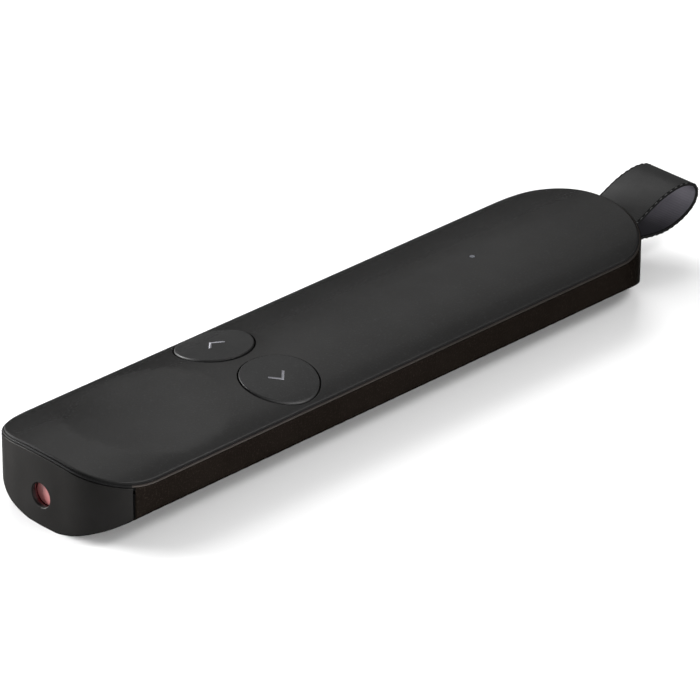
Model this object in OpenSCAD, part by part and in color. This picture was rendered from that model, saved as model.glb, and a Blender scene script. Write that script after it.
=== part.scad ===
// Wireless presentation clicker: a slim bar with a dished laser key at the nose, two round
// slide buttons, and a nano receiver on a webbing loop that docks in the tail.
// +Z is up, the nose points to -Y, and the origin is under the middle of the whole length,
// on the surface that the clicker lies on. All sizes are millimetres.

/* [Body] */
// Width of the body
body_w = 30; // [28:0.5:34]
// Length of the body from nose to tail, without the webbing loop
body_l = 124; // [122:0.5:132]
// Height at the middle of the crown
body_h = 13; // [12.6:0.1:15]
// Height of the crown's middle above its side edges
crown_h = 2.8; // [2.2:0.1:3.4]
// Height at which the upright side walls turn in to the hull
side_z = 5.4; // [4.6:0.1:6]
// Width of the flat strip that the clicker lies on
land_w = 6; // [4:0.5:10]
// Thickness of the side walls
wall = 1.2; // [0.9:0.1:1.4]
// Thickness of the hull at its middle
floor_t = 1.3; // [1:0.1:1.6]

/* [Nose and tail outline] */
// How far the nose bows forward between its corners
nose_bow = 2.2; // [1:0.1:4]
// Radius of the nose corners in plan
nose_corner_r = 9.8; // [7:0.1:12]
// Radius of the middle of the tail in plan
tail_r = 19.4; // [17:0.1:24]
// Radius of the tail corners in plan
tail_corner_r = 9.5; // [7:0.1:11]
// Depth of the nose cap, from the nose to its seam
nose_cap_l = 6.3; // [4.5:0.1:6.5]

/* [Skin and cover] */
// Thickness of the soft skin
skin_t = 0.5; // [0.4:0.05:0.8]
// Thickness of the hard cover under the skin
cover_t = 1.2; // [1:0.1:1.4]
// Clearance between parts that are fitted and don't move
fit_gap = 0.1; // [0.05:0.01:0.2]

/* [Laser key] */
// Distance from the nose to the middle of the thumb dish
dish_from_nose = 21; // [19:0.5:23]
// Radius of the thumb dish
dish_r = 13.2; // [10:0.1:14]
// Depth of the thumb dish
dish_depth = 0.9; // [0.4:0.1:1.2]
// Thickness of the key plate outside the dish
key_plate_t = 1.9; // [1.6:0.1:2.2]
// How far the key tips at its limit, in degrees
key_angle = 0.5; // [0.4:0.05:0.9]
// Radius of the hinge pin
hinge_pin_r = 0.6; // [0.5:0.05:0.7]
// Radial running clearance on the hinge pin and the webbing pin
pin_gap = 0.05; // [0.03:0.01:0.08]

/* [Round buttons] */
// Distance between the previous and next buttons
button_web = 2.2; // [1.9:0.05:3]
// Distance from each button to the side of the body
button_margin = 1.4; // [1.35:0.05:2]
// Distance from the nose to the middle of the buttons
button_from_nose = 42.7; // [42:0.1:44]
// Clearance round each button
button_gap = 0.2; // [0.12:0.01:0.25]
// How far the button tops stand above the skin
button_proud = 0.25; // [0:0.01:0.3]
// Travel of the buttons
button_travel = 0.3; // [0.2:0.05:0.5]
// Length of one arm of the arrow marks
mark_arm = 2.3; // [1.8:0.1:3]
// Line width of the arrow marks
mark_w = 0.5; // [0.4:0.05:0.7]

/* [Laser] */
// Height of the laser's axis
laser_z = 5.45; // [5.2:0.05:6]
// Radius of the laser opening in the nose
laser_hole_r = 2; // [1.8:0.05:2.4]
// Radius of the laser barrel
laser_barrel_r = 3; // [2.7:0.05:3.2]
// Length of the laser barrel
laser_barrel_l = 9; // [8:0.1:9.5]

/* [Boards and battery] */
// Depth from the crown to the top of the main board
board_depth = 6.4; // [6:0.1:6.6]
// Thickness of the boards
board_t = 0.8; // [0.6:0.1:1]
// Length of the main board
main_board_l = 42; // [40:0.5:43]
// Width of the main board
main_board_w = 23; // [22:0.5:24]
// Clearance between each end of the battery and the board there
battery_gap = 2.6; // [2.2:0.1:5]
// Width of the battery
battery_w = 20; // [16:0.5:20]
// Thickness of the battery
battery_t = 5.4; // [4.6:0.1:5.5]
// Distance from the tail to the status light
light_from_tail = 31.5; // [30:0.1:32.5]
// Radius of the status light's window
light_r = 0.45; // [0.35:0.05:0.7]

/* [Receiver and webbing] */
// Width of the receiver's cap
receiver_w = 14.4; // [13.6:0.1:15]
// Height of the receiver's cap
receiver_h = 5.6; // [5.4:0.1:6]
// Length of the receiver's cap
receiver_cap_l = 7; // [6.5:0.1:8]
// Length of the receiver's metal plug
plug_l = 12.2; // [11.8:0.1:12.6]
// Height of the receiver's axis
dock_z = 7.2; // [7:0.05:7.4]
// Clearance round the receiver in its dock
dock_gap = 0.2; // [0.15:0.01:0.25]
// Width of the webbing
webbing_w = 10.4; // [9:0.1:10.8]
// Thickness of the webbing
webbing_t = 0.7; // [0.7:0.05:1]
// How far the webbing loop reaches past the tail
loop_reach = 17; // [15:0.5:22]
// Height of the webbing loop's fold
loop_z = 9.25; // [9:0.05:9.6]
// Radius of the pin that holds the webbing
strap_pin_r = 0.6; // [0.5:0.05:0.7]

/* [Hidden] */
$fn = 64;

// Body: places along the length and the curves of its surfaces
half_w = body_w / 2;
nose_y = -(body_l + loop_reach) / 2;
tail_y = nose_y + body_l;
seam_y = nose_y + nose_cap_l;
crown_r = (half_w * half_w + crown_h * crown_h) / (2 * crown_h);
crown_facets = 240;
bow_r = half_w * half_w / (2 * nose_bow) + nose_bow / 2;
nose_cx = half_w - nose_corner_r;
nose_cy = nose_y + bow_r - sqrt(pow(bow_r - nose_corner_r, 2) - nose_cx * nose_cx);
nose_a = atan2(nose_cy - nose_y - bow_r, nose_cx);
tail_cx = half_w - tail_corner_r;
tail_cy = tail_y - tail_r + sqrt(pow(tail_r - tail_corner_r, 2) - tail_cx * tail_cx);
tail_a = atan2(tail_cy - tail_y + tail_r, tail_cx);
hull_power = 1.5;
hull_steps = 12;
lining_t = skin_t + cover_t;
far = 200;

// Laser key and round buttons
dish_y = nose_y + dish_from_nose;
button_y = nose_y + button_from_nose;
button_r = (half_w - button_margin - button_web / 2) / 2;
button_x = half_w - button_margin - button_r;
button_hole_r = button_r + button_gap;
split_web = 0.85;
split_y = button_y - button_hole_r - split_web;
split_gap = 0.2;
knuckle_wall = 0.6;
knuckle_r = hinge_pin_r + pin_gap + knuckle_wall;
hinge_y = split_y - knuckle_r;
plate_rear_y = hinge_y - knuckle_r - split_gap;
cover_front_y = split_y + split_gap;
key_drop = skin_t + key_plate_t;
hinge_z = body_h - key_drop - knuckle_r;
key_edge_gap = 0.05;
key_side_gap = 0.25;
knuckle_x = 5;
knuckle_w = 3;
lug_x = 10;
lug_w = 1.6;
key_frame_t = 1.1;
key_post_r = 1.5;
bond_gap = 0.02;
sheet_cols = 20;
sheet_corner_rows = 9;
sheet_rows = 14;

// Switches and boards
board_top = body_h - board_depth;
board_base = board_top - board_t;
switch_w = 4.5;
switch_h = 1.8;
stem_r = 1;
stem_h = 0.6;
stem_top = board_top + switch_h + stem_h;
stem_well_gap = 0.1;
dome_depth = 0.6;
board_front_y = nose_y + 14.8;
board_rear_y = board_front_y + main_board_l;
screw_r = 0.6;
screw_gap = 0.02;
screw_head_r = 1.2;
screw_head_h = 0.7;
screw_l = 3.2;
screw_end_gap = 0.4;
post_r = 1.5;
screw_inset = 2.2;
battery_z = floor_t + 2.9;
battery_r = 1.2;
seat_gap = 0.1;
port_w = 8.94;
port_h = 3.26;
port_l = 7.3;
port_wall = 0.3;
port_back_t = 0.4;
port_root_size = [5.2, 1.4, 2.4];
port_tongue_w = 6.6;
port_tongue_t = 0.7;
tail_board_top = dock_z - port_h / 2;
tail_board_base = tail_board_top - board_t;
light_y = tail_y - light_from_tail;
tail_board_front_y = light_y - 3.5;
battery_y = board_rear_y + battery_gap;
battery_l = tail_board_front_y - battery_gap - battery_y;
led_w = 1.6;
led_h = 0.6;
pipe_foot_r = 1;
pipe_foot_h = 1;
pipe_gap = 0.05;
flex_w = 4;
flex_t = 0.2;
flex_overlap = 2;
flex_bend = 2.5;
shield_w = 11;
shield_h = 1.4;
shield_gap = 1.3;
shield_inset = 1.5;
chip_w = 5;
chip_h = 0.9;
crystal_x = 4.5;
crystal_size = [3.2, 2.5, 0.8];
rib_w = 1.2;
rib_inset = 4;
ledge_l = 6;
ledge_gap = 3.5;

// Receiver, dock and webbing
cap_r = 2.2;
plug_w = 12;
plug_h = 4.5;
plug_wall = 0.3;
plug_root = 1;
cap_y = tail_y - receiver_cap_l;
plug_y = cap_y - plug_l;
dock_wall = 0.6;
port_clear = 0.8;
spring_w = 4;
spring_t = 0.2;
spring_inset = 2;
port_y = plug_y - port_clear;
tail_board_rear_y = port_y - 0.3;
tail_board_w = receiver_w + 2 * (dock_gap + dock_wall);
strap_pin_y = tail_y - 3;
strap_pin_grip = 1;
slot_gap = 0.2;
eye_r = strap_pin_r + pin_gap + webbing_t / 2;
swing_room = 0.7;
slot_mouth_h = 2 * (eye_r + webbing_t / 2 + swing_room);
fold_r = 2.75;
fold_start_a = 80;
fold_end_a = -70;
leaf_steps = 14;

// ---- outlines and surfaces ----

function arc(c, r, a0, a1, n) =
    [for (i = [0:n]) c + r * [cos(a0 + (a1 - a0) * i / n), sin(a0 + (a1 - a0) * i / n)]];

// Plan outline of the body, moved inwards by inset
function plan(inset) = concat(
    arc([nose_cx, nose_cy], nose_corner_r - inset, nose_a, 0, 12),
    arc([tail_cx, tail_cy], tail_corner_r - inset, 0, tail_a, 10),
    arc([0, tail_y - tail_r], tail_r - inset, tail_a, 180 - tail_a, 16),
    arc([-tail_cx, tail_cy], tail_corner_r - inset, 180 - tail_a, 180, 10),
    arc([-nose_cx, nose_cy], nose_corner_r - inset, 180, 180 - nose_a, 12),
    arc([0, nose_y + bow_r], bow_r - inset, 180 - nose_a, 360 + nose_a, 8));

// Cross-section of the body below the crown: upright sides and a hull that curves in to
// the land, moved inwards by inset and up by rise
function section(inset, rise) = let(
        h = half_w - inset,
        land = land_w / 2,
        top = side_z + rise / 2,
        curve = [for (i = [0:hull_steps]) let(a = 90 * i / hull_steps)
            [land + (h - land) * pow(sin(a), hull_power),
             rise + (top - rise) * (1 - pow(cos(a), hull_power))]])
    concat([[-h, body_h + 1]],
        [for (i = [hull_steps:-1:0]) [-curve[i][0], curve[i][1]]],
        curve, [[h, body_h + 1]]);

// Height of the crown at x, or of a surface that lies drop below it
function crown_z(x, drop = 0) = body_h - crown_r + sqrt(pow(crown_r - drop, 2) - x * x);

// Front edge of the nose at x
function bow_y(x, inset) = nose_y + bow_r - sqrt(pow(bow_r - inset, 2) - x * x);

// Depth of the thumb dish
function dish(x, y) = let(t = norm([x, y - dish_y]) / dish_r)
    t < 1 ? dish_depth * pow(1 - t * t, 1.5) : 0;

function rounded(w, h, r, n = 6) = concat(
    arc([w / 2 - r, h / 2 - r], r, 0, 90, n), arc([r - w / 2, h / 2 - r], r, 90, 180, n),
    arc([r - w / 2, r - h / 2], r, 180, 270, n), arc([w / 2 - r, r - h / 2], r, 270, 360, n));

module plan_prism(inset, z0 = -1, z1 = body_h + 1)
    translate([0, 0, z0]) linear_extrude(z1 - z0) polygon(plan(inset));

// A cross-section drawn in X and Z, run along Y from y0 to y1
module along_y(y0, y1) translate([0, y1, 0]) rotate([90, 0, 0]) linear_extrude(y1 - y0) children();

// Everything under the surface that lies drop below the crown
module under_crown(drop, y0 = nose_y - 1, y1 = tail_y + 1)
    translate([0, y1, body_h - crown_r]) rotate([90, 0, 0])
        cylinder(r = crown_r - drop, h = y1 - y0, $fn = crown_facets);

// A layer of the crown between two depths
module crown_layer(drop0, drop1, y0, y1) difference() {
    under_crown(drop0, y0, y1);
    under_crown(drop1, y0 - 1, y1 + 1);
}

module block(x0, x1, y0, y1, z0, z1) translate([x0, y0, z0]) cube([x1 - x0, y1 - y0, z1 - z0]);

module body_form(y0, y1) intersection() {
    plan_prism(0);
    along_y(y0, y1) polygon(section(0, 0));
    under_crown(skin_t);
}

module body_hollow(inset, rise, y0, y1) intersection() {
    plan_prism(inset);
    along_y(y0, y1) polygon(section(inset, rise));
}

// What the key's rim needs free of the walls when it tips to its limit
module key_room() translate([0, hinge_y, hinge_z]) rotate([key_angle, 0, 0])
    translate([0, -hinge_y, -hinge_z]) difference() {
        block(-half_w - 1, half_w + 1, nose_y - 2, hinge_y, side_z, body_h + 1);
        under_crown(skin_t + key_edge_gap, nose_y - 3, hinge_y + 1);
    }

module both_sides() { children(); mirror([1, 0, 0]) children(); }

// ---- casing ----

screw_spots = [for (y = [board_front_y + screw_inset, board_rear_y - screw_inset], s = [-1, 1])
    [s * (main_board_w / 2 - screw_inset), y]];
tail_screw_spots = [for (s = [-1, 1])
    [s * (tail_board_w / 2 - screw_inset), tail_board_front_y + screw_inset]];

module case_posts() {
    for (p = screw_spots) translate([p[0], p[1], 0]) cylinder(r = post_r, h = board_base);
    for (p = tail_screw_spots) translate([p[0], p[1], 0]) cylinder(r = post_r, h = tail_board_base);
    // Ribs under the battery, the dock and the laser barrel
    for (y = [battery_y + rib_inset, battery_y + battery_l - rib_inset - rib_w])
        both_sides() block(flex_w / 2 + 1, battery_w / 2, y, y + rib_w, 0, battery_z - seat_gap);
    for (y = [plug_y + rib_inset, cap_y])
        block(-plug_w / 2, plug_w / 2, y, y + rib_w, 0, dock_bottom() - seat_gap);
    difference() {
        block(-laser_barrel_r - 1, laser_barrel_r + 1, barrel_rib_y, barrel_rib_y + barrel_rib_w,
            0, laser_z);
        laser_axis(barrel_rib_y - 1) cylinder(r = laser_barrel_r + screw_gap, h = barrel_rib_w + 2);
    }
}

function dock_bottom() = dock_z - receiver_h / 2 - dock_gap - dock_wall;

// Ledges on the side walls that carry the cover
module case_ledges() intersection() {
    front = button_y + button_hole_r + ledge_gap;
    rear = cap_y - ledge_gap - 2 * ledge_l;
    both_sides() for (i = [0:3]) translate([0, front + (rear - front) * i / 3, 0])
        block(half_w - wall - 1, half_w - wall / 2, 0, ledge_l, side_z + 1, body_h);
    under_crown(lining_t);
}

module screw_hole() translate([0, 0, board_t - screw_l - screw_end_gap])
    cylinder(r = screw_r + screw_gap, h = screw_l + screw_end_gap);

module screw_holes() {
    for (p = screw_spots) translate([p[0], p[1], board_base]) screw_hole();
    for (p = tail_screw_spots) translate([p[0], p[1], tail_board_base]) screw_hole();
}

module lower_case() color([0.12, 0.1, 0.09]) difference() {
    union() {
        difference() {
            body_form(seam_y, tail_y + 1);
            body_hollow(wall, floor_t, seam_y - 1, tail_y + 1);
        }
        intersection() {
            body_form(seam_y, tail_y + 1);
            union() { case_posts(); case_ledges(); }
        }
    }
    key_room();
    screw_holes();
    // Mouth of the receiver's dock
    along_y(cap_y + 2, tail_y + 1) translate([0, dock_z])
        polygon(rounded(receiver_w + 2 * dock_gap, receiver_h + 2 * dock_gap, cap_r));
}

module nose_cap() color([0.16, 0.16, 0.16]) difference() {
    union() {
        difference() {
            body_form(nose_y - 1, seam_y);
            body_hollow(wall, floor_t, nose_y - 1, seam_y + 1);
        }
        // Tongue that plugs into the lower case
        difference() {
            body_hollow(wall + fit_gap, floor_t + fit_gap, seam_y - tongue_l, seam_y + tongue_l);
            body_hollow(wall + fit_gap + tongue_t, floor_t + fit_gap + tongue_t,
                seam_y - tongue_l - 1, seam_y + tongue_l + 1);
            block(-half_w, half_w, seam_y - tongue_l - 1, seam_y + tongue_l + 1,
                body_h - key_drop - tongue_drop, body_h + 1);
        }
        // Socket for the front of the laser barrel
        intersection() {
            body_form(nose_y - 1, seam_y);
            translate([0, nose_y, laser_z]) rotate([-90, 0, 0])
                cylinder(r = laser_barrel_r + socket_wall, h = nose_cap_l - 1);
        }
    }
    key_room();
    translate([0, nose_y - 1, laser_z]) rotate([-90, 0, 0]) cylinder(r = laser_hole_r, h = far);
    translate([0, nose_y + wall + window_t, laser_z]) rotate([-90, 0, 0])
        cylinder(r = laser_barrel_r + screw_gap, h = far);
}
window_t = 0.8;
socket_wall = 0.9;
tongue_l = 1.8;
tongue_t = 0.8;
tongue_drop = 3;

module top_cover() color([0.2, 0.2, 0.2]) {
    difference() {
        intersection() {
            plan_prism(wall + fit_gap);
            crown_layer(skin_t, lining_t, cover_front_y, tail_y);
        }
        both_sides() translate([button_x, button_y, 0]) cylinder(r = button_hole_r, h = far);
        translate([0, light_y, 0]) cylinder(r = light_r + pipe_gap, h = far);
    }
    // Lugs that hold the key's hinge pin
    for (x = [-lug_x, 0, lug_x]) difference() {
        intersection() {
            union() {
                block(x - lug_w / 2, x + lug_w / 2, hinge_y, cover_front_y + 0.6, hinge_z, body_h);
                translate([x - lug_w / 2, hinge_y, hinge_z]) rotate([0, 90, 0])
                    cylinder(r = knuckle_r, h = lug_w);
            }
            under_crown(skin_t + fit_gap);
        }
        translate([x - lug_w, hinge_y, hinge_z]) rotate([0, 90, 0])
            cylinder(r = hinge_pin_r + screw_gap, h = 2 * lug_w);
    }
}

module soft_skin() color([0.17, 0.17, 0.17]) difference() {
    intersection() {
        plan_prism(0);
        crown_layer(0, skin_t, split_y + split_gap / 2, tail_y + 1);
    }
    both_sides() translate([button_x, button_y, 0]) cylinder(r = button_hole_r, h = far);
    translate([0, light_y, 0]) cylinder(r = light_r + pipe_gap, h = far);
}

module light_pipe() color([0.6, 0.62, 0.68]) intersection() {
    translate([0, light_y, 0]) union() {
        translate([0, 0, tail_board_top + led_h + 0.1])
            cylinder(r = light_r, h = body_h);
        translate([0, 0, body_h - lining_t - pipe_foot_h - 0.1])
            cylinder(r = pipe_foot_r, h = pipe_foot_h);
    }
    under_crown(0);
}

module status_led() color([0.9, 0.9, 0.85])
    block(-led_w / 2, led_w / 2, light_y - led_w / 4, light_y + led_w / 4,
        tail_board_top, tail_board_top + led_h);

// ---- laser ----

module laser_axis(y) translate([0, y, laser_z]) rotate([-90, 0, 0]) children();

barrel_y = nose_y + wall + window_t;
barrel_rib_y = nose_y + 8.5;
barrel_rib_w = 2;
bore_r = laser_barrel_r - 0.7;
lens_t = 1.4;
lens_seat_w = 0.5;
diode_r = laser_barrel_r - 0.2;
diode_t = 1.2;
diode_can_l = 2;
lead_r = 0.22;
lead_x = 0.9;
lead_land = 2;

module laser_window() color([0.5, 0.25, 0.25]) laser_axis(barrel_y - window_t)
    cylinder(r = laser_hole_r - 0.02, h = window_t - 0.02);

module laser_barrel() color([0.75, 0.6, 0.3]) laser_axis(barrel_y) difference() {
    cylinder(r = laser_barrel_r, h = laser_barrel_l);
    translate([0, 0, -1]) cylinder(r = bore_r - lens_seat_w, h = laser_barrel_l + 2);
    translate([0, 0, -1]) cylinder(r = bore_r, h = lens_t + 1);
    translate([0, 0, laser_barrel_l - diode_t]) cylinder(r = diode_r, h = diode_t + 1);
}

module laser_lens() color([0.8, 0.5, 0.5]) laser_axis(barrel_y + 0.1)
    cylinder(r = bore_r - 0.02, h = lens_t - 0.1);

module laser_diode() color([0.8, 0.75, 0.6]) {
    rear = barrel_y + laser_barrel_l;
    laser_axis(rear - diode_t) {
        cylinder(r = diode_r - 0.02, h = diode_t);
        translate([0, 0, -diode_can_l])
            cylinder(r = bore_r - lens_seat_w - 0.1, h = diode_can_l + 0.1);
    }
    both_sides() translate([lead_x, rear - 0.1, board_top + lead_r])
        rotate([-90, 0, 0]) cylinder(r = lead_r, h = board_front_y + lead_land - rear);
}

// ---- boards, switches and battery ----

module main_board() color([0.1, 0.35, 0.2]) difference() {
    block(-main_board_w / 2, main_board_w / 2, board_front_y, board_rear_y, board_base, board_top);
    for (p = screw_spots) translate([p[0], p[1], 0]) cylinder(r = screw_r + fit_gap, h = far);
}

module radio_shield() color([0.75, 0.76, 0.78])
    block(-shield_w / 2, shield_w / 2, button_y + switch_w / 2 + shield_gap,
        board_rear_y - shield_inset, board_top, board_top + shield_h);

module controller_chip() color([0.08, 0.08, 0.08])
    block(-chip_w / 2, chip_w / 2, hinge_y - chip_w, hinge_y, board_top, board_top + chip_h);

module clock_crystal() color([0.7, 0.7, 0.72])
    translate([crystal_x, hinge_y - 1 - crystal_size[1], board_top]) cube(crystal_size);

module switch_body(x, y) color([0.75, 0.76, 0.78]) difference() {
    block(x - switch_w / 2, x + switch_w / 2, y - switch_w / 2, y + switch_w / 2,
        board_top, board_top + switch_h);
    translate([x, y, board_top + switch_h - dome_depth])
        cylinder(r = stem_r + stem_well_gap, h = far);
}

// The stem stands in the switch with room under it for the dome to give way
module switch_stem(x, y) color([0.1, 0.1, 0.1])
    translate([x, y, board_top + switch_h - dome_depth + button_travel + 0.05])
        cylinder(r = stem_r, h = stem_h + dome_depth - button_travel - 0.05);

module laser_switch() switch_body(0, dish_y);
module previous_switch() switch_body(button_x, button_y);
module next_switch() switch_body(-button_x, button_y);
module laser_switch_stem() switch_stem(0, dish_y);
module previous_switch_stem() switch_stem(button_x, button_y);
module next_switch_stem() switch_stem(-button_x, button_y);

module screw(base) translate([0, 0, base + board_t]) {
    translate([0, 0, -screw_l]) cylinder(r = screw_r, h = screw_l);
    cylinder(r = screw_head_r, h = screw_head_h);
}

module board_screws() color([0.6, 0.6, 0.62]) {
    for (p = screw_spots) translate([p[0], p[1], 0]) screw(board_base);
    for (p = tail_screw_spots) translate([p[0], p[1], 0]) screw(tail_board_base);
}

module battery_cell() color([0.7, 0.7, 0.72]) translate([0, 0, battery_z + battery_t / 2])
    along_y(battery_y, battery_y + battery_l) polygon(rounded(battery_w, battery_t, battery_r));

// Flat cable that runs under the battery and joins the two boards
module flex_cable() color([0.75, 0.5, 0.15]) {
    run_z = battery_z - 0.8;
    front = board_rear_y - flex_bend;
    rear = tail_board_front_y + flex_bend;
    path = [[front - flex_overlap, board_base - flex_t / 2], [front, board_base - flex_t / 2],
        [battery_y, run_z], [battery_y + battery_l - flex_overlap, run_z],
        [rear, tail_board_base - flex_t / 2], [rear + flex_overlap, tail_board_base - flex_t / 2]];
    translate([-flex_w / 2, 0, 0]) rotate([90, 0, 90]) linear_extrude(flex_w) polygon(concat(
        [for (p = path) p + [0, flex_t / 2]],
        [for (i = [len(path) - 1:-1:0]) path[i] - [0, flex_t / 2]]));
}

module tail_board() color([0.1, 0.35, 0.2]) difference() {
    block(-tail_board_w / 2, tail_board_w / 2, tail_board_front_y, tail_board_rear_y,
        tail_board_base, tail_board_top);
    for (p = tail_screw_spots) translate([p[0], p[1], 0]) cylinder(r = screw_r + fit_gap, h = far);
}

module charge_port_shell() color([0.75, 0.76, 0.78]) difference() {
    along_y(port_y - port_l, port_y) translate([0, dock_z])
        polygon(rounded(port_w, port_h, port_h / 2 - 0.05));
    along_y(port_y - port_l + port_back_t, port_y + 1) translate([0, dock_z])
        polygon(rounded(port_w - 2 * port_wall, port_h - 2 * port_wall, port_h / 2 - port_wall - 0.05));
}

module charge_port_tongue() color([0.1, 0.1, 0.1])
    translate([0, port_y - port_l + port_back_t, dock_z]) {
        translate([-port_root_size[0] / 2, 0, -port_root_size[2] / 2]) cube(port_root_size);
        block(-port_tongue_w / 2, port_tongue_w / 2, port_root_size[1], port_l - port_root_size[1],
            -port_tongue_t / 2, port_tongue_t / 2);
    }

// ---- receiver, dock and webbing ----

module receiver_dock() color([0.15, 0.15, 0.15]) intersection() {
    difference() {
        along_y(plug_y - 0.4, tail_y) translate([0, dock_z]) polygon(rounded(
            receiver_w + 2 * (dock_gap + dock_wall), receiver_h + 2 * (dock_gap + dock_wall),
            cap_r + dock_wall));
        along_y(plug_y - 1, tail_y + 1) translate([0, dock_z]) polygon(rounded(
            receiver_w + 2 * dock_gap, receiver_h + 2 * dock_gap, cap_r));
    }
    plan_prism(wall + fit_gap);
}

// Leaf that bears on the plug and holds the receiver in
module dock_spring() color([0.75, 0.76, 0.78]) {
    low = dock_z - receiver_h / 2 - dock_gap + 0.01;
    crest = dock_z - plug_h / 2 - 0.05 - spring_t;
    path = [[0, low], [1.5, low], [4, crest], [5, crest], [7, low + spring_t]];
    translate([-spring_w / 2, plug_y + spring_inset, 0]) rotate([90, 0, 90])
        linear_extrude(spring_w) polygon(concat(
            [for (p = path) p + [0, spring_t]], [for (i = [len(path) - 1:-1:0]) path[i]]));
}

module key_hinge_pin() color([0.75, 0.76, 0.78])
    translate([-lug_x - lug_w / 2, hinge_y, hinge_z]) rotate([0, 90, 0])
        cylinder(r = hinge_pin_r, h = 2 * lug_x + lug_w);

module receiver_cap() color([0.13, 0.13, 0.13]) difference() {
    intersection() {
        along_y(cap_y, tail_y + 1) translate([0, dock_z])
            polygon(rounded(receiver_w, receiver_h, cap_r));
        plan_prism(0);
    }
    // Slot for the webbing, flared so that it can swing
    translate([-webbing_w / 2 - slot_gap, strap_pin_y, dock_z]) rotate([0, 90, 0])
        cylinder(r = eye_r + webbing_t / 2 + slot_gap, h = webbing_w + 2 * slot_gap);
    translate([-webbing_w / 2 - slot_gap, 0, 0]) rotate([90, 0, 90])
        linear_extrude(webbing_w + 2 * slot_gap) polygon([
            [strap_pin_y, dock_z - eye_r - webbing_t / 2 - slot_gap],
            [tail_y + 1, dock_z - slot_mouth_h / 2], [tail_y + 1, dock_z + slot_mouth_h / 2],
            [strap_pin_y, dock_z + eye_r + webbing_t / 2 + slot_gap]]);
    translate([-webbing_w / 2 - slot_gap - strap_pin_grip, strap_pin_y, dock_z]) rotate([0, 90, 0])
        cylinder(r = strap_pin_r + screw_gap, h = webbing_w + 2 * (slot_gap + strap_pin_grip));
    // Seat of the plug's root
    along_y(cap_y - 1, cap_y + plug_root) translate([0, dock_z])
        polygon(rounded(plug_w + 2 * screw_gap, plug_h + 2 * screw_gap, 0.5));
}

module receiver_plug_shell() color([0.75, 0.76, 0.78]) difference() {
    along_y(plug_y, cap_y + plug_root) translate([0, dock_z]) polygon(rounded(plug_w, plug_h, 0.5));
    along_y(plug_y - 1, cap_y + plug_root + 1) translate([0, dock_z])
        polygon(rounded(plug_w - 2 * plug_wall, plug_h - 2 * plug_wall, 0.3));
}

insert_gap = 0.05;
insert_h = 1.9;
insert_z = dock_z - plug_h / 2 + plug_wall + insert_gap;
insert_block_l = 2.5;
contact_w = 1;
contact_t = 0.12;
contact_x = [-3.5, -1, 1, 3.5];

module receiver_plug_insert() color([0.1, 0.1, 0.1]) intersection() {
    union() {
        block(-plug_w, plug_w, plug_y, cap_y + plug_root, 0, insert_z + insert_h);
        block(-plug_w, plug_w, cap_y - insert_block_l, cap_y + plug_root, 0, body_h);
    }
    along_y(plug_y + 0.4, cap_y + 0.9) translate([0, dock_z]) polygon(rounded(
        plug_w - 2 * (plug_wall + insert_gap), plug_h - 2 * (plug_wall + insert_gap), 0.3));
}

module receiver_contacts() color([0.85, 0.7, 0.3])
    for (x = contact_x)
        block(x - contact_w / 2, x + contact_w / 2, plug_y + contact_w, cap_y - insert_block_l - 0.5,
            insert_z + insert_h, insert_z + insert_h + contact_t);

module strap_pin() color([0.75, 0.76, 0.78])
    translate([-webbing_w / 2 - slot_gap - strap_pin_grip, strap_pin_y, dock_z]) rotate([0, 90, 0])
        cylinder(r = strap_pin_r, h = webbing_w + 2 * (slot_gap + strap_pin_grip));

// Centre line of the webbing: an eye round the pin, an upper leaf, a fold and a lower leaf
function bezier(a, b, c, d, n) = [for (i = [0:n]) let(t = i / n, s = 1 - t)
    s * s * s * a + 3 * s * s * t * b + 3 * s * t * t * c + t * t * t * d];
fold_c = [tail_y + loop_reach - webbing_t / 2 - fold_r, loop_z];
fold = arc(fold_c, fold_r, fold_start_a, fold_end_a, 12);
function fold_way(a) = [sin(a), -cos(a)];
upper_leaf = bezier([strap_pin_y, dock_z + eye_r], [tail_y + 4, dock_z + eye_r - 0.2],
    fold[0] - 6.5 * fold_way(fold_start_a), fold[0], leaf_steps);
lower_leaf = bezier(fold[12], fold[12] + 5 * fold_way(fold_end_a),
    [tail_y + 2.5, dock_z - eye_r - 0.1], [strap_pin_y, dock_z - eye_r], leaf_steps);
eye = arc([strap_pin_y, dock_z], eye_r, 270, 90, 10);
centre_line = concat([for (i = [0:leaf_steps - 1]) upper_leaf[i]], fold,
    [for (i = [1:leaf_steps]) lower_leaf[i]], [for (i = [1:9]) eye[i]]);
// The centre line moved sideways by d
function beside(path, d) = [for (i = [0:len(path) - 1]) let(
        a = path[(i + len(path) - 1) % len(path)], b = path[(i + 1) % len(path)],
        t = (b - a) / norm(b - a)) path[i] + d * [-t[1], t[0]]];

module strap_loop() color([0.2, 0.2, 0.21])
    translate([-webbing_w / 2, 0, 0]) rotate([90, 0, 90]) linear_extrude(webbing_w) difference() {
        polygon(beside(centre_line, webbing_t / 2));
        polygon(beside(centre_line, -webbing_t / 2));
    }

// ---- keys ----

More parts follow.
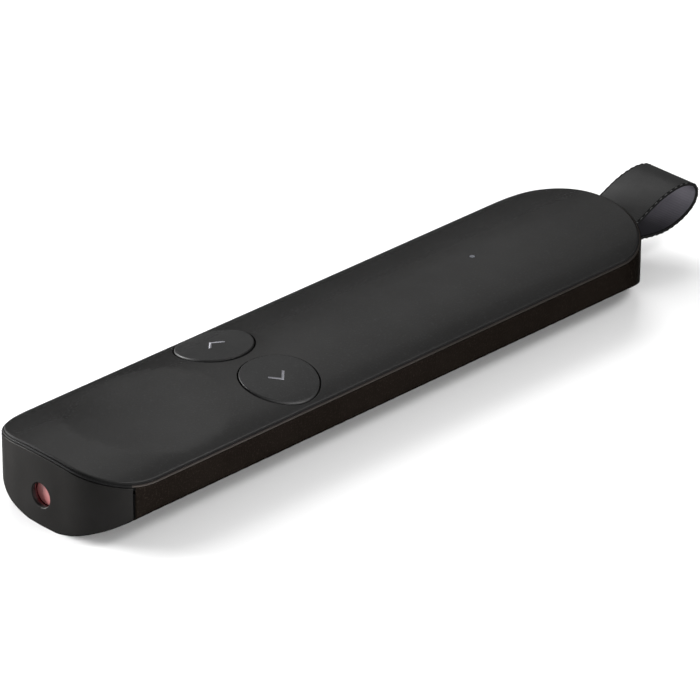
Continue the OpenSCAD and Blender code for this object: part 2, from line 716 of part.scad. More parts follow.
// A sheet that follows the crown and the dish over the front of the body, from depth drop
// to the smooth depth under it, or to the dish again where dished_base is true
module dished_sheet(inset, rear_y, drop, t, dished_base) {
    r = nose_corner_r - inset;
    rows = concat(
        [for (i = [0:sheet_corner_rows]) let(a = nose_a * (1 - i / sheet_corner_rows))
            [nose_cx + r * cos(a), nose_cy + r * sin(a)]],
        [for (i = [1:sheet_rows]) [half_w - inset, nose_cy + (rear_y - nose_cy) * i / sheet_rows]]);
    front = rows[0][1];
    n = len(rows);
    m = sheet_cols + 1;
    spots = [for (row = rows, j = [0:sheet_cols]) let(
            x = row[0] * (2 * j / sheet_cols - 1),
            fade = (rear_y - row[1]) / (rear_y - front))
        [x, row[1] + fade * (bow_y(x, inset) - bow_y(row[0], inset))]];
    top = [for (p = spots) [p[0], p[1], crown_z(p[0], drop) - dish(p[0], p[1])]];
    base = [for (p = spots)
        [p[0], p[1], crown_z(p[0], drop + t) - (dished_base ? dish(p[0], p[1]) : 0)]];
    grid = [for (i = [0:n - 2], j = [0:m - 2]) let(a = i * m + j) each [
        [a, a + m, a + 1], [a + 1, a + m, a + m + 1],
        [a + n * m, a + n * m + 1, a + n * m + m],
        [a + n * m + 1, a + n * m + m + 1, a + n * m + m]]];
    rim = concat([for (j = [0:m - 1]) j], [for (i = [1:n - 1]) i * m + m - 1],
        [for (j = [m - 2:-1:0]) (n - 1) * m + j], [for (i = [n - 2:-1:1]) i * m]);
    side = [for (k = [0:len(rim) - 1]) let(a = rim[k], b = rim[(k + 1) % len(rim)]) each [
        [a, b, a + n * m], [b, b + n * m, a + n * m]]];
    polyhedron(concat(top, base), concat(grid, side));
}

module key_skin() color([0.17, 0.17, 0.17])
    dished_sheet(0, split_y - split_gap / 2, 0, skin_t - bond_gap, true);

module laser_key() color([0.2, 0.2, 0.2])
    dished_sheet(wall + key_side_gap, plate_rear_y, skin_t + bond_gap, key_plate_t - bond_gap, false);

module key_frame() color([0.25, 0.25, 0.25]) difference() {
    union() {
        intersection() {
            union() {
                block(-knuckle_x - knuckle_w / 2, knuckle_x + knuckle_w / 2,
                    dish_y - 4, dish_y + 4, hinge_z, body_h);
                both_sides() block(knuckle_x - knuckle_w / 2, knuckle_x + knuckle_w / 2,
                    dish_y, hinge_y - knuckle_r, hinge_z, body_h);
            }
            crown_layer(key_drop + bond_gap, key_drop + key_frame_t, nose_y, tail_y);
        }
        translate([0, dish_y, stem_top])
            cylinder(r = key_post_r, h = body_h - key_drop - stem_top - 0.3);
        both_sides() translate([knuckle_x - knuckle_w / 2, 0, 0]) {
            block(0, knuckle_w, plate_rear_y + split_gap / 4, hinge_y,
                hinge_z - key_frame_t / 2, hinge_z + key_frame_t);
            translate([0, hinge_y, hinge_z]) rotate([0, 90, 0])
                cylinder(r = knuckle_r, h = knuckle_w);
        }
    }
    translate([-half_w, hinge_y, hinge_z]) rotate([0, 90, 0])
        cylinder(r = hinge_pin_r + pin_gap, h = body_w);
}

ear_w = 2;
ear_reach = 0.7;
button_t = lining_t + 0.8;

module arrow(grow = 0) {
    s = (mark_w / 2 + grow) * sqrt(2);
    a = mark_arm / sqrt(2);
    polygon([[a / 2 + s, 0], [-a / 2 + s / 2, a + s / 2], [-a / 2 - s / 2, a - s / 2],
        [a / 2 - s, 0], [-a / 2 - s / 2, -a + s / 2], [-a / 2 + s / 2, -a - s / 2]]);
}

mark_t = 0.3;

module button_mark() color([0.6, 0.6, 0.63]) intersection() {
    translate([button_x, button_y, 0]) linear_extrude(far) arrow();
    crown_layer(-button_proud, mark_t - button_proud, nose_y, tail_y);
}

module round_button() color([0.18, 0.18, 0.18]) {
    difference() {
        intersection() {
            translate([button_x, button_y, 0]) cylinder(r = button_r, h = far);
            crown_layer(-button_proud, button_t, nose_y, tail_y);
        }
        intersection() {
            translate([button_x, button_y, 0]) linear_extrude(far) arrow(0.01);
            crown_layer(-button_proud - 1, mark_t - button_proud, nose_y, tail_y);
        }
    }
    // Ears that stop against the underside of the cover
    intersection() {
        block(button_x - ear_w / 2, button_x + ear_w / 2, button_y - button_r - ear_reach,
            button_y + button_r + ear_reach, 0, far);
        crown_layer(lining_t + 0.02, button_t, nose_y, tail_y);
    }
    translate([button_x, button_y, stem_top])
        cylinder(r = key_post_r, h = crown_z(button_x, button_t) - stem_top + 0.2);
}

module previous_button() round_button();
module previous_mark() button_mark();
module next_button() mirror([1, 0, 0]) round_button();
module next_mark() mirror([1, 0, 0]) button_mark();

lower_case();
nose_cap();
top_cover();
soft_skin();
light_pipe();
status_led();
laser_window();
laser_barrel();
laser_lens();
laser_diode();
main_board();
radio_shield();
controller_chip();
clock_crystal();
laser_switch();
previous_switch();
next_switch();
board_screws();
battery_cell();
flex_cable();
tail_board();
charge_port_shell();
charge_port_tongue();
receiver_dock();
dock_spring();
key_hinge_pin();
key_skin();
laser_key();
key_frame();
laser_switch_stem();
previous_button();
previous_mark();
previous_switch_stem();
next_button();
next_mark();
next_switch_stem();
receiver_cap();
receiver_plug_shell();
receiver_plug_insert();
receiver_contacts();
strap_pin();
strap_loop();
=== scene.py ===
"""The looks of the presentation clicker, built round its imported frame.

Shapes are worked out in millimetres, in the row frame: +Z up, the nose towards -Y, the tail and its
webbing towards +Y. Meshes become metres when they are made. What wraps round the body is drawn flat
first, as lengths along the plan outline against heights, and then folded round that outline.
"""

import math

import bmesh
import bpy
import numpy as np
from mathutils import Matrix, Vector
from mathutils.geometry import delaunay_2d_cdt
from mathutils.kdtree import KDTree


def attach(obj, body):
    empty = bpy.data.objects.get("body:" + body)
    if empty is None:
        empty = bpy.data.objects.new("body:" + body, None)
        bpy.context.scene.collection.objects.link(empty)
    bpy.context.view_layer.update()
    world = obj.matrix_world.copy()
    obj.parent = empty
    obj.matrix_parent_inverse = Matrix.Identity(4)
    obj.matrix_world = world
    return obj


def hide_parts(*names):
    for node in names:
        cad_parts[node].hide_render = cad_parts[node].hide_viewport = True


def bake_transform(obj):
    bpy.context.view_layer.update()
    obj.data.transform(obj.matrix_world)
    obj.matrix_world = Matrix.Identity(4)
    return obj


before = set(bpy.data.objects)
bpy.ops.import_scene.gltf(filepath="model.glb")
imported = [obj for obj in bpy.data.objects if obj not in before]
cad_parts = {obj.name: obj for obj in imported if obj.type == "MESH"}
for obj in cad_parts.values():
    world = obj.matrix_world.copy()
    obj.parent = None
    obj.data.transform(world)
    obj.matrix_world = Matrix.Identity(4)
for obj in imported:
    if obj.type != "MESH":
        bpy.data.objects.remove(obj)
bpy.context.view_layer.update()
MM = 0.001
PER_METRE = 1000

# ---- sizes ----
HALF_W = 15.0
NOSE_Y = -70.44
TAIL_Y = 53.44
SEAM_Y = -64.2  # between the nose cap and the lower case
SKIN_T = 0.5
WALL = 1.2
FLOOR_T = 1.3

# Plan outline: a bowed nose with full corners, straight sides and a round tail
NOSE_BOW = 2.18
NOSE_CORNER_X = 10.62
NOSE_CORNER_Y = 10.39
NOSE_POWER = 2.24
TAIL_DEPTH = 11.57
TAIL_POWER = 2.09

# Crown: the solids have one radius. The skin is flatter in its middle and turns down at its sides to meet it
CROWN_Z = 13.0
CROWN_R = 41.58
MIDDLE_R = 47.0
SHOULDER_W = 3.7

# Section of the underside: a flat strip in the middle, then a hull that rises to the walls
HALF_LAND = 3.0
SIDE_Z = 5.4
HULL_POWER = 1.5

DISH_Y = -49.5
DISH_R = 13.2
DISH_DEPTH = 0.9
DISH_POWER = 1.2

BUTTON_X = 7.35
BUTTON_Y = -27.8
BUTTON_R = 6.25
BUTTON_HOLE_R = 6.45
BUTTON_PROUD = 0.24

LIGHT_Y = 22.0
LIGHT_HOLE_R = 0.5
LASER_Z = 5.45
LASER_R = 2.0
PIN_Y = 50.5
DOCK_Z = 7.2
MOUTH_W = 14.8
MOUTH_H = 6.0
MOUTH_R = 2.2


# ---- lines in a plane ----
def lengths(line):
    """Length along a line at each of its points."""
    return np.r_[0, np.cumsum(np.hypot(*np.diff(line, axis=0).T))]


def closed(line):
    return np.vstack([line, line[:1]])


def spaced(line, n):
    """n points at even steps along a line that ends where it starts."""
    length = lengths(line)
    at = np.linspace(0, length[-1], n, endpoint=False)
    return np.c_[np.interp(at, length, line[:, 0]), np.interp(at, length, line[:, 1])]


def blurred(line, spread, reach):
    """A closed line with its joins rounded, by a mean that fades out over spread points each way."""
    weights = np.exp(-0.5 * (np.arange(-reach, reach + 1) / spread) ** 2)
    weights /= weights.sum()
    wrapped = np.vstack([line[-reach:], line, line[:reach]])
    return np.c_[np.convolve(wrapped[:, 0], weights, "valid"), np.convolve(wrapped[:, 1], weights, "valid")]


def left_normals(line):
    """Unit normals of a closed line, to the left of its way."""
    along = np.roll(line, -1, axis=0) - np.roll(line, 1, axis=0)
    along /= np.hypot(*along.T)[:, None]
    return np.c_[-along[:, 1], along[:, 0]]


def circle(x, y, r, n):
    a = np.linspace(0, 2 * np.pi, n, endpoint=False)
    return np.c_[x + r * np.cos(a), y + r * np.sin(a)]


def rounded_box(w, h, r):
    """A rounded rectangle round (0, 0), anticlockwise, with points along its sides too."""
    corner_n, side_step = 9, 0.5
    corners = []
    for sx, sy, a0 in ((1, 1, 0), (-1, 1, 90), (-1, -1, 180), (1, -1, 270)):
        a = np.radians(np.linspace(a0, a0 + 90, corner_n))
        corners.append(np.c_[sx * (w / 2 - r) + r * np.cos(a), sy * (h / 2 - r) + r * np.sin(a)])
    loop = np.vstack(corners)
    points = []
    for p, q in zip(loop, np.roll(loop, -1, axis=0)):
        steps = max(1, int(np.hypot(*(q - p)) / side_step))
        points += [p + (q - p) * i / steps for i in range(steps)]
    return np.array(points)


def turn(r, steps, start, end):
    """(in, down) of an edge rounded by r, between two angles of its way from its top to its side."""
    a = np.radians(np.linspace(start, end, steps))
    return [(r * math.sin(t), r * (1 - math.cos(t))) for t in a]


# ---- plan outline ----
BOW_N, SIDE_N, PLAN_N = 200, 400, 6000  # points on the nose's bow, on each further stretch, and in all
PLAN_BLEND = 0.8  # the joins of the stretches are evened out over this length
PLAN_REACH = 90
CORNER_END = 40.0  # length from the middle of the nose to past its corner
CUT_REACH = 2.5
LEAST_NORMAL_X = 0.2


def nose_bow(x):
    return NOSE_BOW * (x / HALF_W) ** 2


def plan_outline():
    """A dense closed line from the middle of the nose, anticlockwise."""
    corner_x = HALF_W - NOSE_CORNER_X
    corner_y = NOSE_Y + nose_bow(corner_x)
    round_y = TAIL_Y - TAIL_DEPTH
    x = np.linspace(0, corner_x, BOW_N)
    a = np.linspace(0, np.pi / 2, SIDE_N)
    half = np.vstack([
        np.c_[x, NOSE_Y + nose_bow(x)],
        np.c_[corner_x + NOSE_CORNER_X * np.sin(a) ** (2 / NOSE_POWER),
              corner_y + NOSE_CORNER_Y * (1 - np.cos(a) ** (2 / NOSE_POWER))],
        np.c_[np.full(SIDE_N, HALF_W), np.linspace(corner_y + NOSE_CORNER_Y, round_y, SIDE_N)],
        np.c_[HALF_W * np.cos(a) ** (2 / TAIL_POWER), round_y + TAIL_DEPTH * np.sin(a) ** (2 / TAIL_POWER)],
    ])
    whole = np.vstack([half, (half * [-1, 1])[::-1]])
    step = lengths(whole)[-1] / PLAN_N
    return blurred(spaced(whole, PLAN_N), PLAN_BLEND / step, PLAN_REACH)


PLAN = plan_outline()
PLAN_S = lengths(closed(PLAN))
PLAN_L = PLAN_S[-1]
INWARD = left_normals(PLAN)


def around(values, s):
    """Values given along the plan outline, read off at the lengths s."""
    return np.interp(np.mod(s, PLAN_L), PLAN_S, np.r_[values, values[:1]])


def normals_at(normals, s):
    n = np.c_[around(normals[:, 0], s), around(normals[:, 1], s)]
    return n / np.hypot(*n.T)[:, None]


def square_to_cut(inward, y, cut_y):
    """Inward steps that turn along X as they come near a cut across the body."""
    near = np.clip(1 - np.abs(y - cut_y) / CUT_REACH, 0, 1)
    near = (near * near * (3 - 2 * near))[:, None]
    sideways = np.abs(inward[:, 0]) > LEAST_NORMAL_X
    across = np.c_[1 / np.where(sideways, inward[:, 0], np.inf), np.zeros(len(inward))]
    return inward * (1 - near) + across * near


def outline(s, inset=0.0, cut_y=None):
    """Points of the plan outline at the lengths s, moved inwards. Near cut_y they move only along X."""
    points = np.c_[around(PLAN[:, 0], s), around(PLAN[:, 1], s)]
    inward = normals_at(INWARD, s)
    if cut_y is not None:
        inward = square_to_cut(inward, points[:, 1], cut_y)
    return points + inward * inset


def s_at_y(y):
    """Length along the outline, on the nose's +X corner, where it crosses y."""
    corner = PLAN_S[:-1] < CORNER_END
    return float(np.interp(y, PLAN[corner, 1], PLAN_S[:-1][corner]))


# ---- surfaces ----
SLOPE_STEP = 0.02
HULL_N = 3000


def bulge(r, x):
    """Height of an arc of radius r at x, measured from its middle."""
    return np.sqrt(r * r - x * x) - r


SHOULDER_DROP = bulge(MIDDLE_R, HALF_W) - bulge(CROWN_R, HALF_W)


def crown(x):
    """Height of the crowned top, which turns down faster in its outer SHOULDER_W."""
    shoulder = np.maximum(np.abs(x) - HALF_W + SHOULDER_W, 0)
    return CROWN_Z + bulge(MIDDLE_R, x) - SHOULDER_DROP * (shoulder / SHOULDER_W) ** 2


def top(x, y):
    """Height of the skin: the crown, with the thumb dish in it."""
    t = np.minimum(np.hypot(x, y - DISH_Y) / DISH_R, 1)
    return crown(x) - DISH_DEPTH * (1 - t * t) ** DISH_POWER


def button_top(x, _):
    """Height of a round button's face, which follows the crown."""
    return crown(x) + BUTTON_PROUD


def lifted(height, xy, rise=0.0):
    """Points of the plan on a surface, or a rise over it."""
    return np.c_[xy, height(*xy.T) + rise]


def surface_normals(height, x, y):
    """Unit normals of a surface, from its slope over a small step each way."""
    e = SLOPE_STEP
    slope_x = (height(x + e, y) - height(x - e, y)) / (2 * e)
    slope_y = (height(x, y + e) - height(x, y - e)) / (2 * e)
    n = np.c_[-slope_x, -slope_y, np.ones(len(x))]
    return n / np.linalg.norm(n, axis=1)[:, None]


class Hull:
    """The section of the underside, as a line that can be unrolled flat."""

    def __init__(self, inset=0.0, rise=0.0):
        a = np.linspace(0, np.pi / 2, HULL_N)
        half, side = HALF_W - inset, SIDE_Z + rise / 2
        self.x = np.r_[0, HALF_LAND + (half - HALF_LAND) * np.sin(a) ** HULL_POWER]
        self.z = np.r_[rise, rise + (side - rise) * (1 - np.cos(a) ** HULL_POWER)]
        self.length = lengths(np.c_[self.x, self.z])

    def unroll(self, x):
        return np.sign(x) * np.interp(np.abs(x), self.x, self.length)

    def height(self, x):
        return np.interp(np.abs(x), self.x, self.z)

    def points(self, flat):
        u = np.abs(flat[:, 0])
        x = np.sign(flat[:, 0]) * np.interp(u, self.length, self.x)
        return np.c_[x, flat[:, 1], np.interp(u, self.length, self.z)]

    def normals(self, flat):
        step = [0.05, 0]
        along = self.points(flat + step) - self.points(flat - step)
        n = np.c_[along[:, 2], np.zeros(len(along)), -along[:, 0]]
        return n / np.linalg.norm(n, axis=1)[:, None]


# ---- mesh making ----
ROW_SHARE = 0.866  # distance between the rows of a sheet's grid, as a share of its spacing
CLEAR_SHARE = 0.55  # how far the grid stays off the loops, as a share of its spacing
CHUNK = 4000
SAME_POINT = 1e-7  # in a flat mesh
TOUCH = 0.002  # points of a piece that are nearer than this become one


def inside(loop, points):
    """Which points lie in a closed 2-D loop."""
    x, y = points.T
    hit = np.zeros(len(points), bool)
    for (ax, ay), (bx, by) in zip(loop, np.roll(loop, -1, axis=0)):
        if ay != by:
            hit ^= ((ay > y) != (by > y)) & (x < (bx - ax) * (y - ay) / (by - ay) + ax)
    return hit


def between(loops, points):
    """Which points lie in the first loop and outside the others."""
    keep = inside(loops[0], points)
    for hole in loops[1:]:
        keep &= ~inside(hole, points)
    return keep


def away_from(loop, points, distance):
    """Which points lie further than a distance from all points of a loop."""
    keep = np.ones(len(points), bool)
    for i in range(0, len(points), CHUNK):
        gap = points[i:i + CHUNK, None, :] - loop[None, :, :]
        keep[i:i + CHUNK] = (gap ** 2).sum(2).min(1) > distance ** 2
    return keep


def filling(loops, spacing):
    """A grid of staggered rows inside the first loop and round the others."""
    low, high = loops[0].min(0), loops[0].max(0)
    xs = np.arange(low[0] + spacing / 2, high[0], spacing)
    ys = np.arange(low[1] + spacing / 2, high[1], spacing * ROW_SHARE)
    grid = np.array([[x + (spacing / 2 if j % 2 else 0), y] for j, y in enumerate(ys) for x in xs])
    grid = grid.reshape(-1, 2)
    grid = grid[between(loops, grid)]
    for loop in loops:
        grid = grid[away_from(loop, grid, spacing * CLEAR_SHARE)]
    return grid


def flat_mesh(outer, holes, spacing):
    """Points and triangles that fill a 2-D loop round its holes. The loops' own points come first."""
    loops = [np.asarray(outer)] + [np.asarray(hole) for hole in holes]
    points = np.vstack(loops + [filling(loops, spacing)])
    edges = []
    for loop in loops:
        start, n = len(edges), len(loop)
        edges += [(start + i, start + (i + 1) % n) for i in range(n)]
    made = delaunay_2d_cdt([Vector(p) for p in points], edges, [], 0, SAME_POINT)
    verts = np.array([points[old[0]] if old else list(new) for new, old in zip(made[0], made[3])])
    tris = np.array([list(face) for face in made[2] if len(face) == 3])
    return verts, tris[between(loops, verts[tris].mean(1))]


class Piece:
    """A mesh gathered from sheets and strips that share edges."""

    def __init__(self):
        self.verts = []
        self.normals = []
        self.faces = []
        self.slots = []
        self.count = 0

    def add(self, verts, faces, slot=0, normals=None):
        """Points and faces. Slot is one material slot, or a list with one for each face."""
        verts = np.asarray(verts, float)
        self.verts.append(verts)
        self.normals.append(np.full(verts.shape, np.nan) if normals is None else np.asarray(normals, float))
        self.faces += [tuple(int(i) + self.count for i in face) for face in faces]
        self.slots += list(slot) if np.ndim(slot) else [slot] * len(faces)
        self.count += len(verts)

    def rows(self, rings, slot=0, closed_rings=True, normals=None):
        """Quads between rings of points. Slot is one slot, a column with one per row, or a whole table."""
        n, m = len(rings[0]), len(rings)
        last = n if closed_rings else n - 1
        faces = [(j * n + i, j * n + (i + 1) % n, (j + 1) * n + (i + 1) % n, (j + 1) * n + i)
                 for j in range(m - 1) for i in range(last)]
        slots = np.broadcast_to(slot, (m - 1, last)).ravel().tolist()
        self.add(np.vstack(rings), faces, slots, None if normals is None else np.vstack(normals))

    def merged(self):
        """Points without those that touch, their normals, and the faces and slots that are left."""
        verts, normals = np.vstack(self.verts), np.vstack(self.normals)
        tree = KDTree(len(verts))
        for i, v in enumerate(verts):
            tree.insert(v, i)
        tree.balance()
        first, index = [], np.full(len(verts), -1)
        for i, v in enumerate(verts):
            if index[i] >= 0:
                continue
            for _, j, _ in tree.find_range(v, TOUCH):
                if index[j] < 0:
                    index[j] = len(first)
                    if np.isnan(normals[i][0]):
                        normals[i] = normals[j]
            first.append(i)
        faces, slots = [], []
        for face, slot in zip(self.faces, self.slots):
            corners = [index[i] for i in face]
            corners = [v for k, v in enumerate(corners) if v != corners[k - 1]]
            if len(corners) >= 3 and len(set(corners)) == len(corners):
                faces.append(corners)
                slots.append(slot)
        return verts[first] * MM, normals[first], faces, slots

    def make(self, name, materials):
        """The piece as one smooth object that faces outwards and keeps the normals given for it."""
        verts, normals, faces, slots = self.merged()
        mesh = bpy.data.meshes.new(name)
        mesh.from_pydata(verts.tolist(), [], faces)
        obj = bpy.data.objects.new(name, mesh)
        bpy.context.scene.collection.objects.link(obj)
        for material in materials:
            mesh.materials.append(material)
        mesh.polygons.foreach_set("material_index", slots)
        mesh.polygons.foreach_set("use_smooth", [True] * len(faces))
        mesh.update()
        face_outwards(mesh, normals)
        shading = np.zeros(len(verts) * 3, np.float32)
        mesh.vertices.foreach_get("normal", shading)
        shading = shading.reshape(-1, 3)
        given = ~np.isnan(normals[:, 0])
        shading[given] = normals[given]
        mesh.normals_split_custom_set_from_vertices(shading.tolist())
        return obj


def face_outwards(mesh, given):
    """Turns the faces alike, to the side that most of the given normals point to."""
    bm = bmesh.new()
    bm.from_mesh(mesh)
    bmesh.ops.recalc_face_normals(bm, faces=bm.faces)
    agree = 0.0
    for face in bm.faces:
        for vert in face.verts:
            normal = given[vert.index]
            if not np.isnan(normal[0]):
                agree += face.normal.dot(Vector(normal)) * face.calc_area()
    if agree < 0:
        bmesh.ops.reverse_faces(bm, faces=bm.faces)
    bm.to_mesh(mesh)
    bm.free()
    mesh.update()


# ---- materials ----
NODE_GAP = 220
ROUGH_DRIFT = 0.05
GRAZING = 0.56, 0.78  # from facing the viewer at 0 to edge on at 1: where the edge shine fades
DOTS = 0.55, 0.75  # of the grain: where the speckle sets in
TONES = 0.3, 0.7  # of the drift: where the dark tone ends and the light one starts
DRIFT_DETAIL, DRIFT_ROUGHNESS = 4.0, 0.6
GRAIN_DETAIL, GRAIN_ROUGHNESS = 3.0, 0.55


def new_node(tree, kind, **values):
    """A node set up by the names of its inputs or of its own properties."""
    node = tree.nodes.new(kind)
    node.location = (NODE_GAP * len(tree.nodes), 0)
    for key, value in values.items():
        if key in node.inputs.keys():
            node.inputs[key].default_value = value
        else:
            setattr(node, key, value)
    return node


def stretched(tree, value, start, end, low=0.0, high=1.0):
    """A value taken so that start becomes low and end becomes high."""
    limits = {"From Min": start, "From Max": end, "To Min": low, "To Max": high}
    node = new_node(tree, "ShaderNodeMapRange", **limits)
    tree.links.new(value, node.inputs["Value"])
    return node.outputs[0]


def noise(tree, where, size, detail, roughness):
    """Noise with features of about a size in millimetres."""
    node = new_node(tree, "ShaderNodeTexNoise", Scale=PER_METRE / size, Detail=detail, Roughness=roughness)
    tree.links.new(where, node.inputs["Vector"])
    return node.outputs["Fac"]


def drifting_colour(tree, fac, dark, light):
    tones = new_node(tree, "ShaderNodeValToRGB")
    for element, position, colour in zip(tones.color_ramp.elements, TONES, (dark, light)):
        element.position = position
        element.color = (*colour, 1)
    tree.links.new(fac, tones.inputs["Fac"])
    return tones.outputs["Color"]


def speckled(tree, colour, grain, speckle):
    """A colour with lighter dots where the grain is high."""
    mix = new_node(tree, "ShaderNodeMix", data_type="RGBA")
    # The node keeps sockets for every kind of data: these are its factor and its two colours
    factor, base, dots = (mix.inputs[i] for i in (0, 6, 7))
    dots.default_value = (*speckle, 1)
    tree.links.new(stretched(tree, grain, *DOTS), factor)
    tree.links.new(colour, base)
    return mix.outputs[2]


def surface(name, dark, light, rough, patch=12.0, grain=0.25, bump=0.2, bump_mm=0.02, metal=0.0,
            stretch=(1, 1, 1), specular=0.5, coat=0.0, coat_rough=0.2, edge=None, fade=1.0, speckle=None):
    """A material whose colour drifts between two tones in patches, with a fine grain in roughness and bump.

    Metal is the share of its colour that shines instead of scattering. Edge dims that shine at a grazing
    angle, and fade dims it further on surfaces seen edge on.
    """
    material = bpy.data.materials.new(name)
    material.use_nodes = True
    tree = material.node_tree
    tree.nodes.clear()
    out = new_node(tree, "ShaderNodeOutputMaterial")
    shader = new_node(tree, "ShaderNodeBsdfPrincipled", **{
        "Metallic": metal, "Specular IOR Level": specular, "Coat Weight": coat, "Coat Roughness": coat_rough})
    tree.links.new(shader.outputs[0], out.inputs[0])
    if edge is not None:
        view = new_node(tree, "ShaderNodeLayerWeight", Blend=0.5)
        shine = stretched(tree, view.outputs["Facing"], *GRAZING, edge, fade * edge)
        tree.links.new(shine, shader.inputs["Specular Tint"])
    place = new_node(tree, "ShaderNodeTexCoord")
    scale = new_node(tree, "ShaderNodeMapping", Scale=stretch)
    tree.links.new(place.outputs["Object"], scale.inputs["Vector"])
    drift = noise(tree, scale.outputs[0], patch, DRIFT_DETAIL, DRIFT_ROUGHNESS)
    fine = noise(tree, scale.outputs[0], grain, GRAIN_DETAIL, GRAIN_ROUGHNESS)
    colour = drifting_colour(tree, drift, dark, light)
    if speckle is not None:
        colour = speckled(tree, colour, fine, speckle)
    tree.links.new(colour, shader.inputs["Base Color"])
    roughness = stretched(tree, fine, 0.0, 1.0, rough - ROUGH_DRIFT, rough + ROUGH_DRIFT)
    tree.links.new(roughness, shader.inputs["Roughness"])
    relief = new_node(tree, "ShaderNodeBump", Strength=bump, Distance=bump_mm * MM)
    tree.links.new(fine, relief.inputs["Height"])
    tree.links.new(relief.outputs[0], shader.inputs["Normal"])
    return material


def grey(value):
    return value, value, value


# Outside: dark plastics and rubbers with a soft sheen, prints and webbing
SKIN = surface("soft_touch_skin", (0.0232, 0.0230, 0.0228), (0.0275, 0.0273, 0.0271), 0.5, patch=18,
               grain=0.3, bump=0.6, bump_mm=0.03, metal=0.9, edge=0.42, fade=0.55, specular=0.0,
               speckle=grey(0.036))
RIM = surface("rim_plastic", (0.025, 0.022, 0.020), (0.031, 0.027, 0.025), 0.5, patch=15, grain=0.2,
              bump=0.1, metal=0.8, edge=0.44, fade=0.7, specular=0.0)
# Painted shade: a near-black put on grooves, gaps, hollows and hidden undersides that lie in shade
PAINTED_SHADE = surface("painted_shade_black", grey(0.004), grey(0.006), 0.8, specular=0.05)
CASE = surface("case_plastic", (0.0048, 0.0037, 0.0030), (0.0066, 0.0051, 0.0042), 0.42, patch=9, grain=0.3,
               bump=0.7, bump_mm=0.04, metal=0.7, edge=0.44, fade=0.7, specular=0.0,
               speckle=(0.019, 0.0155, 0.0125))
NOSE = surface("nose_plastic", (0.0102, 0.0099, 0.0096), (0.0130, 0.0126, 0.0123), 0.46, patch=10, grain=0.35,
               bump=0.4, bump_mm=0.03, metal=0.7, edge=0.5, fade=0.8, specular=0.0)
BUTTON = surface("button_rubber", grey(0.0240), grey(0.0288), 0.5, patch=10, grain=0.3,
                 bump=0.5, bump_mm=0.03, metal=0.6, edge=0.44, fade=0.7, specular=0.0, speckle=grey(0.038))
BORE = surface("bore_plastic", grey(0.010), grey(0.016), 0.25, patch=1, grain=0.2, bump=0.1,
               coat=0.4, coat_rough=0.1)
# Painted reflection: the red of the lens, painted on the inner half of the laser's bore
PAINTED_LENS_REFLECTION = surface("painted_lens_reflection_red", (0.05, 0.004, 0.005), (0.07, 0.006, 0.008), 0.2, patch=1, grain=0.2,
                 bump=0.1, coat=0.8, coat_rough=0.08)
PRINT = surface("mark_print", (0.125, 0.125, 0.137), (0.15, 0.15, 0.164), 0.6, patch=2, grain=0.1,
                bump=0.1, specular=0.1)
WEBBING = surface("woven_nylon", grey(0.0200), grey(0.0245), 0.85, patch=4, grain=0.25, bump=0.8,
                  specular=0.07)
WEBBING_BACK = surface("woven_nylon_back", (0.0200, 0.0190, 0.0226), (0.0245, 0.0232, 0.0275), 0.85, patch=5,
                       grain=0.2, bump=0.3, specular=0.07)
# The selvedges are darker than the webbing: painted shade on the band's edges
SELVEDGE_SHADE = surface("selvedge", grey(0.005), grey(0.007), 0.9, patch=1, grain=0.15, bump=0.3, specular=0.0)
THREAD = surface("stitch_thread", grey(0.026), grey(0.036), 0.7, patch=1.5, grain=0.1, bump=0.2, specular=0.1)

# Inside
PLASTIC = surface("moulded_plastic", grey(0.045), grey(0.06), 0.5, patch=6, grain=0.2, bump=0.2)
CAP_PLASTIC = surface("cap_plastic", (0.02, 0.02, 0.021), (0.026, 0.026, 0.027), 0.5, patch=6, grain=0.2,
                      bump=0.2)
STEEL = surface("plated_steel", (0.55, 0.55, 0.56), (0.66, 0.66, 0.67), 0.3, patch=3, grain=0.3, bump=0.15,
                metal=1.0, stretch=(1, 8, 8))
BRASS = surface("turned_brass", (0.62, 0.44, 0.2), (0.74, 0.55, 0.28), 0.28, patch=3, grain=0.2, bump=0.15,
                metal=1.0, stretch=(8, 1, 8))
BOARD = surface("solder_mask", (0.01, 0.09, 0.045), (0.015, 0.13, 0.06), 0.3, patch=2.5, grain=0.4, bump=0.2,
                coat=0.5)
CHIP = surface("chip_epoxy", (0.015, 0.015, 0.016), (0.025, 0.025, 0.026), 0.55, patch=1.5, grain=0.1,
               bump=0.4)
LED = surface("light_body", (0.75, 0.72, 0.6), (0.88, 0.86, 0.74), 0.4, patch=0.6, grain=0.1)
WINDOW = surface("light_window", (0.045, 0.049, 0.060), (0.060, 0.065, 0.079), 0.5, patch=0.8, grain=0.1,
                 specular=0.25)
FOIL = surface("battery_foil", (0.5, 0.5, 0.52), (0.62, 0.62, 0.64), 0.35, patch=8, grain=0.5, bump=0.35,
               bump_mm=0.05, metal=1.0)
FILM = surface("polyimide_film", (0.38, 0.17, 0.02), (0.5, 0.25, 0.04), 0.35, patch=3, grain=0.3, bump=0.15)
GLASS = surface("red_filter", (0.14, 0.044, 0.044), (0.175, 0.058, 0.058), 0.35, patch=1.6, grain=0.1,
                bump=0.05, specular=0.3, coat=0.25, coat_rough=0.15)

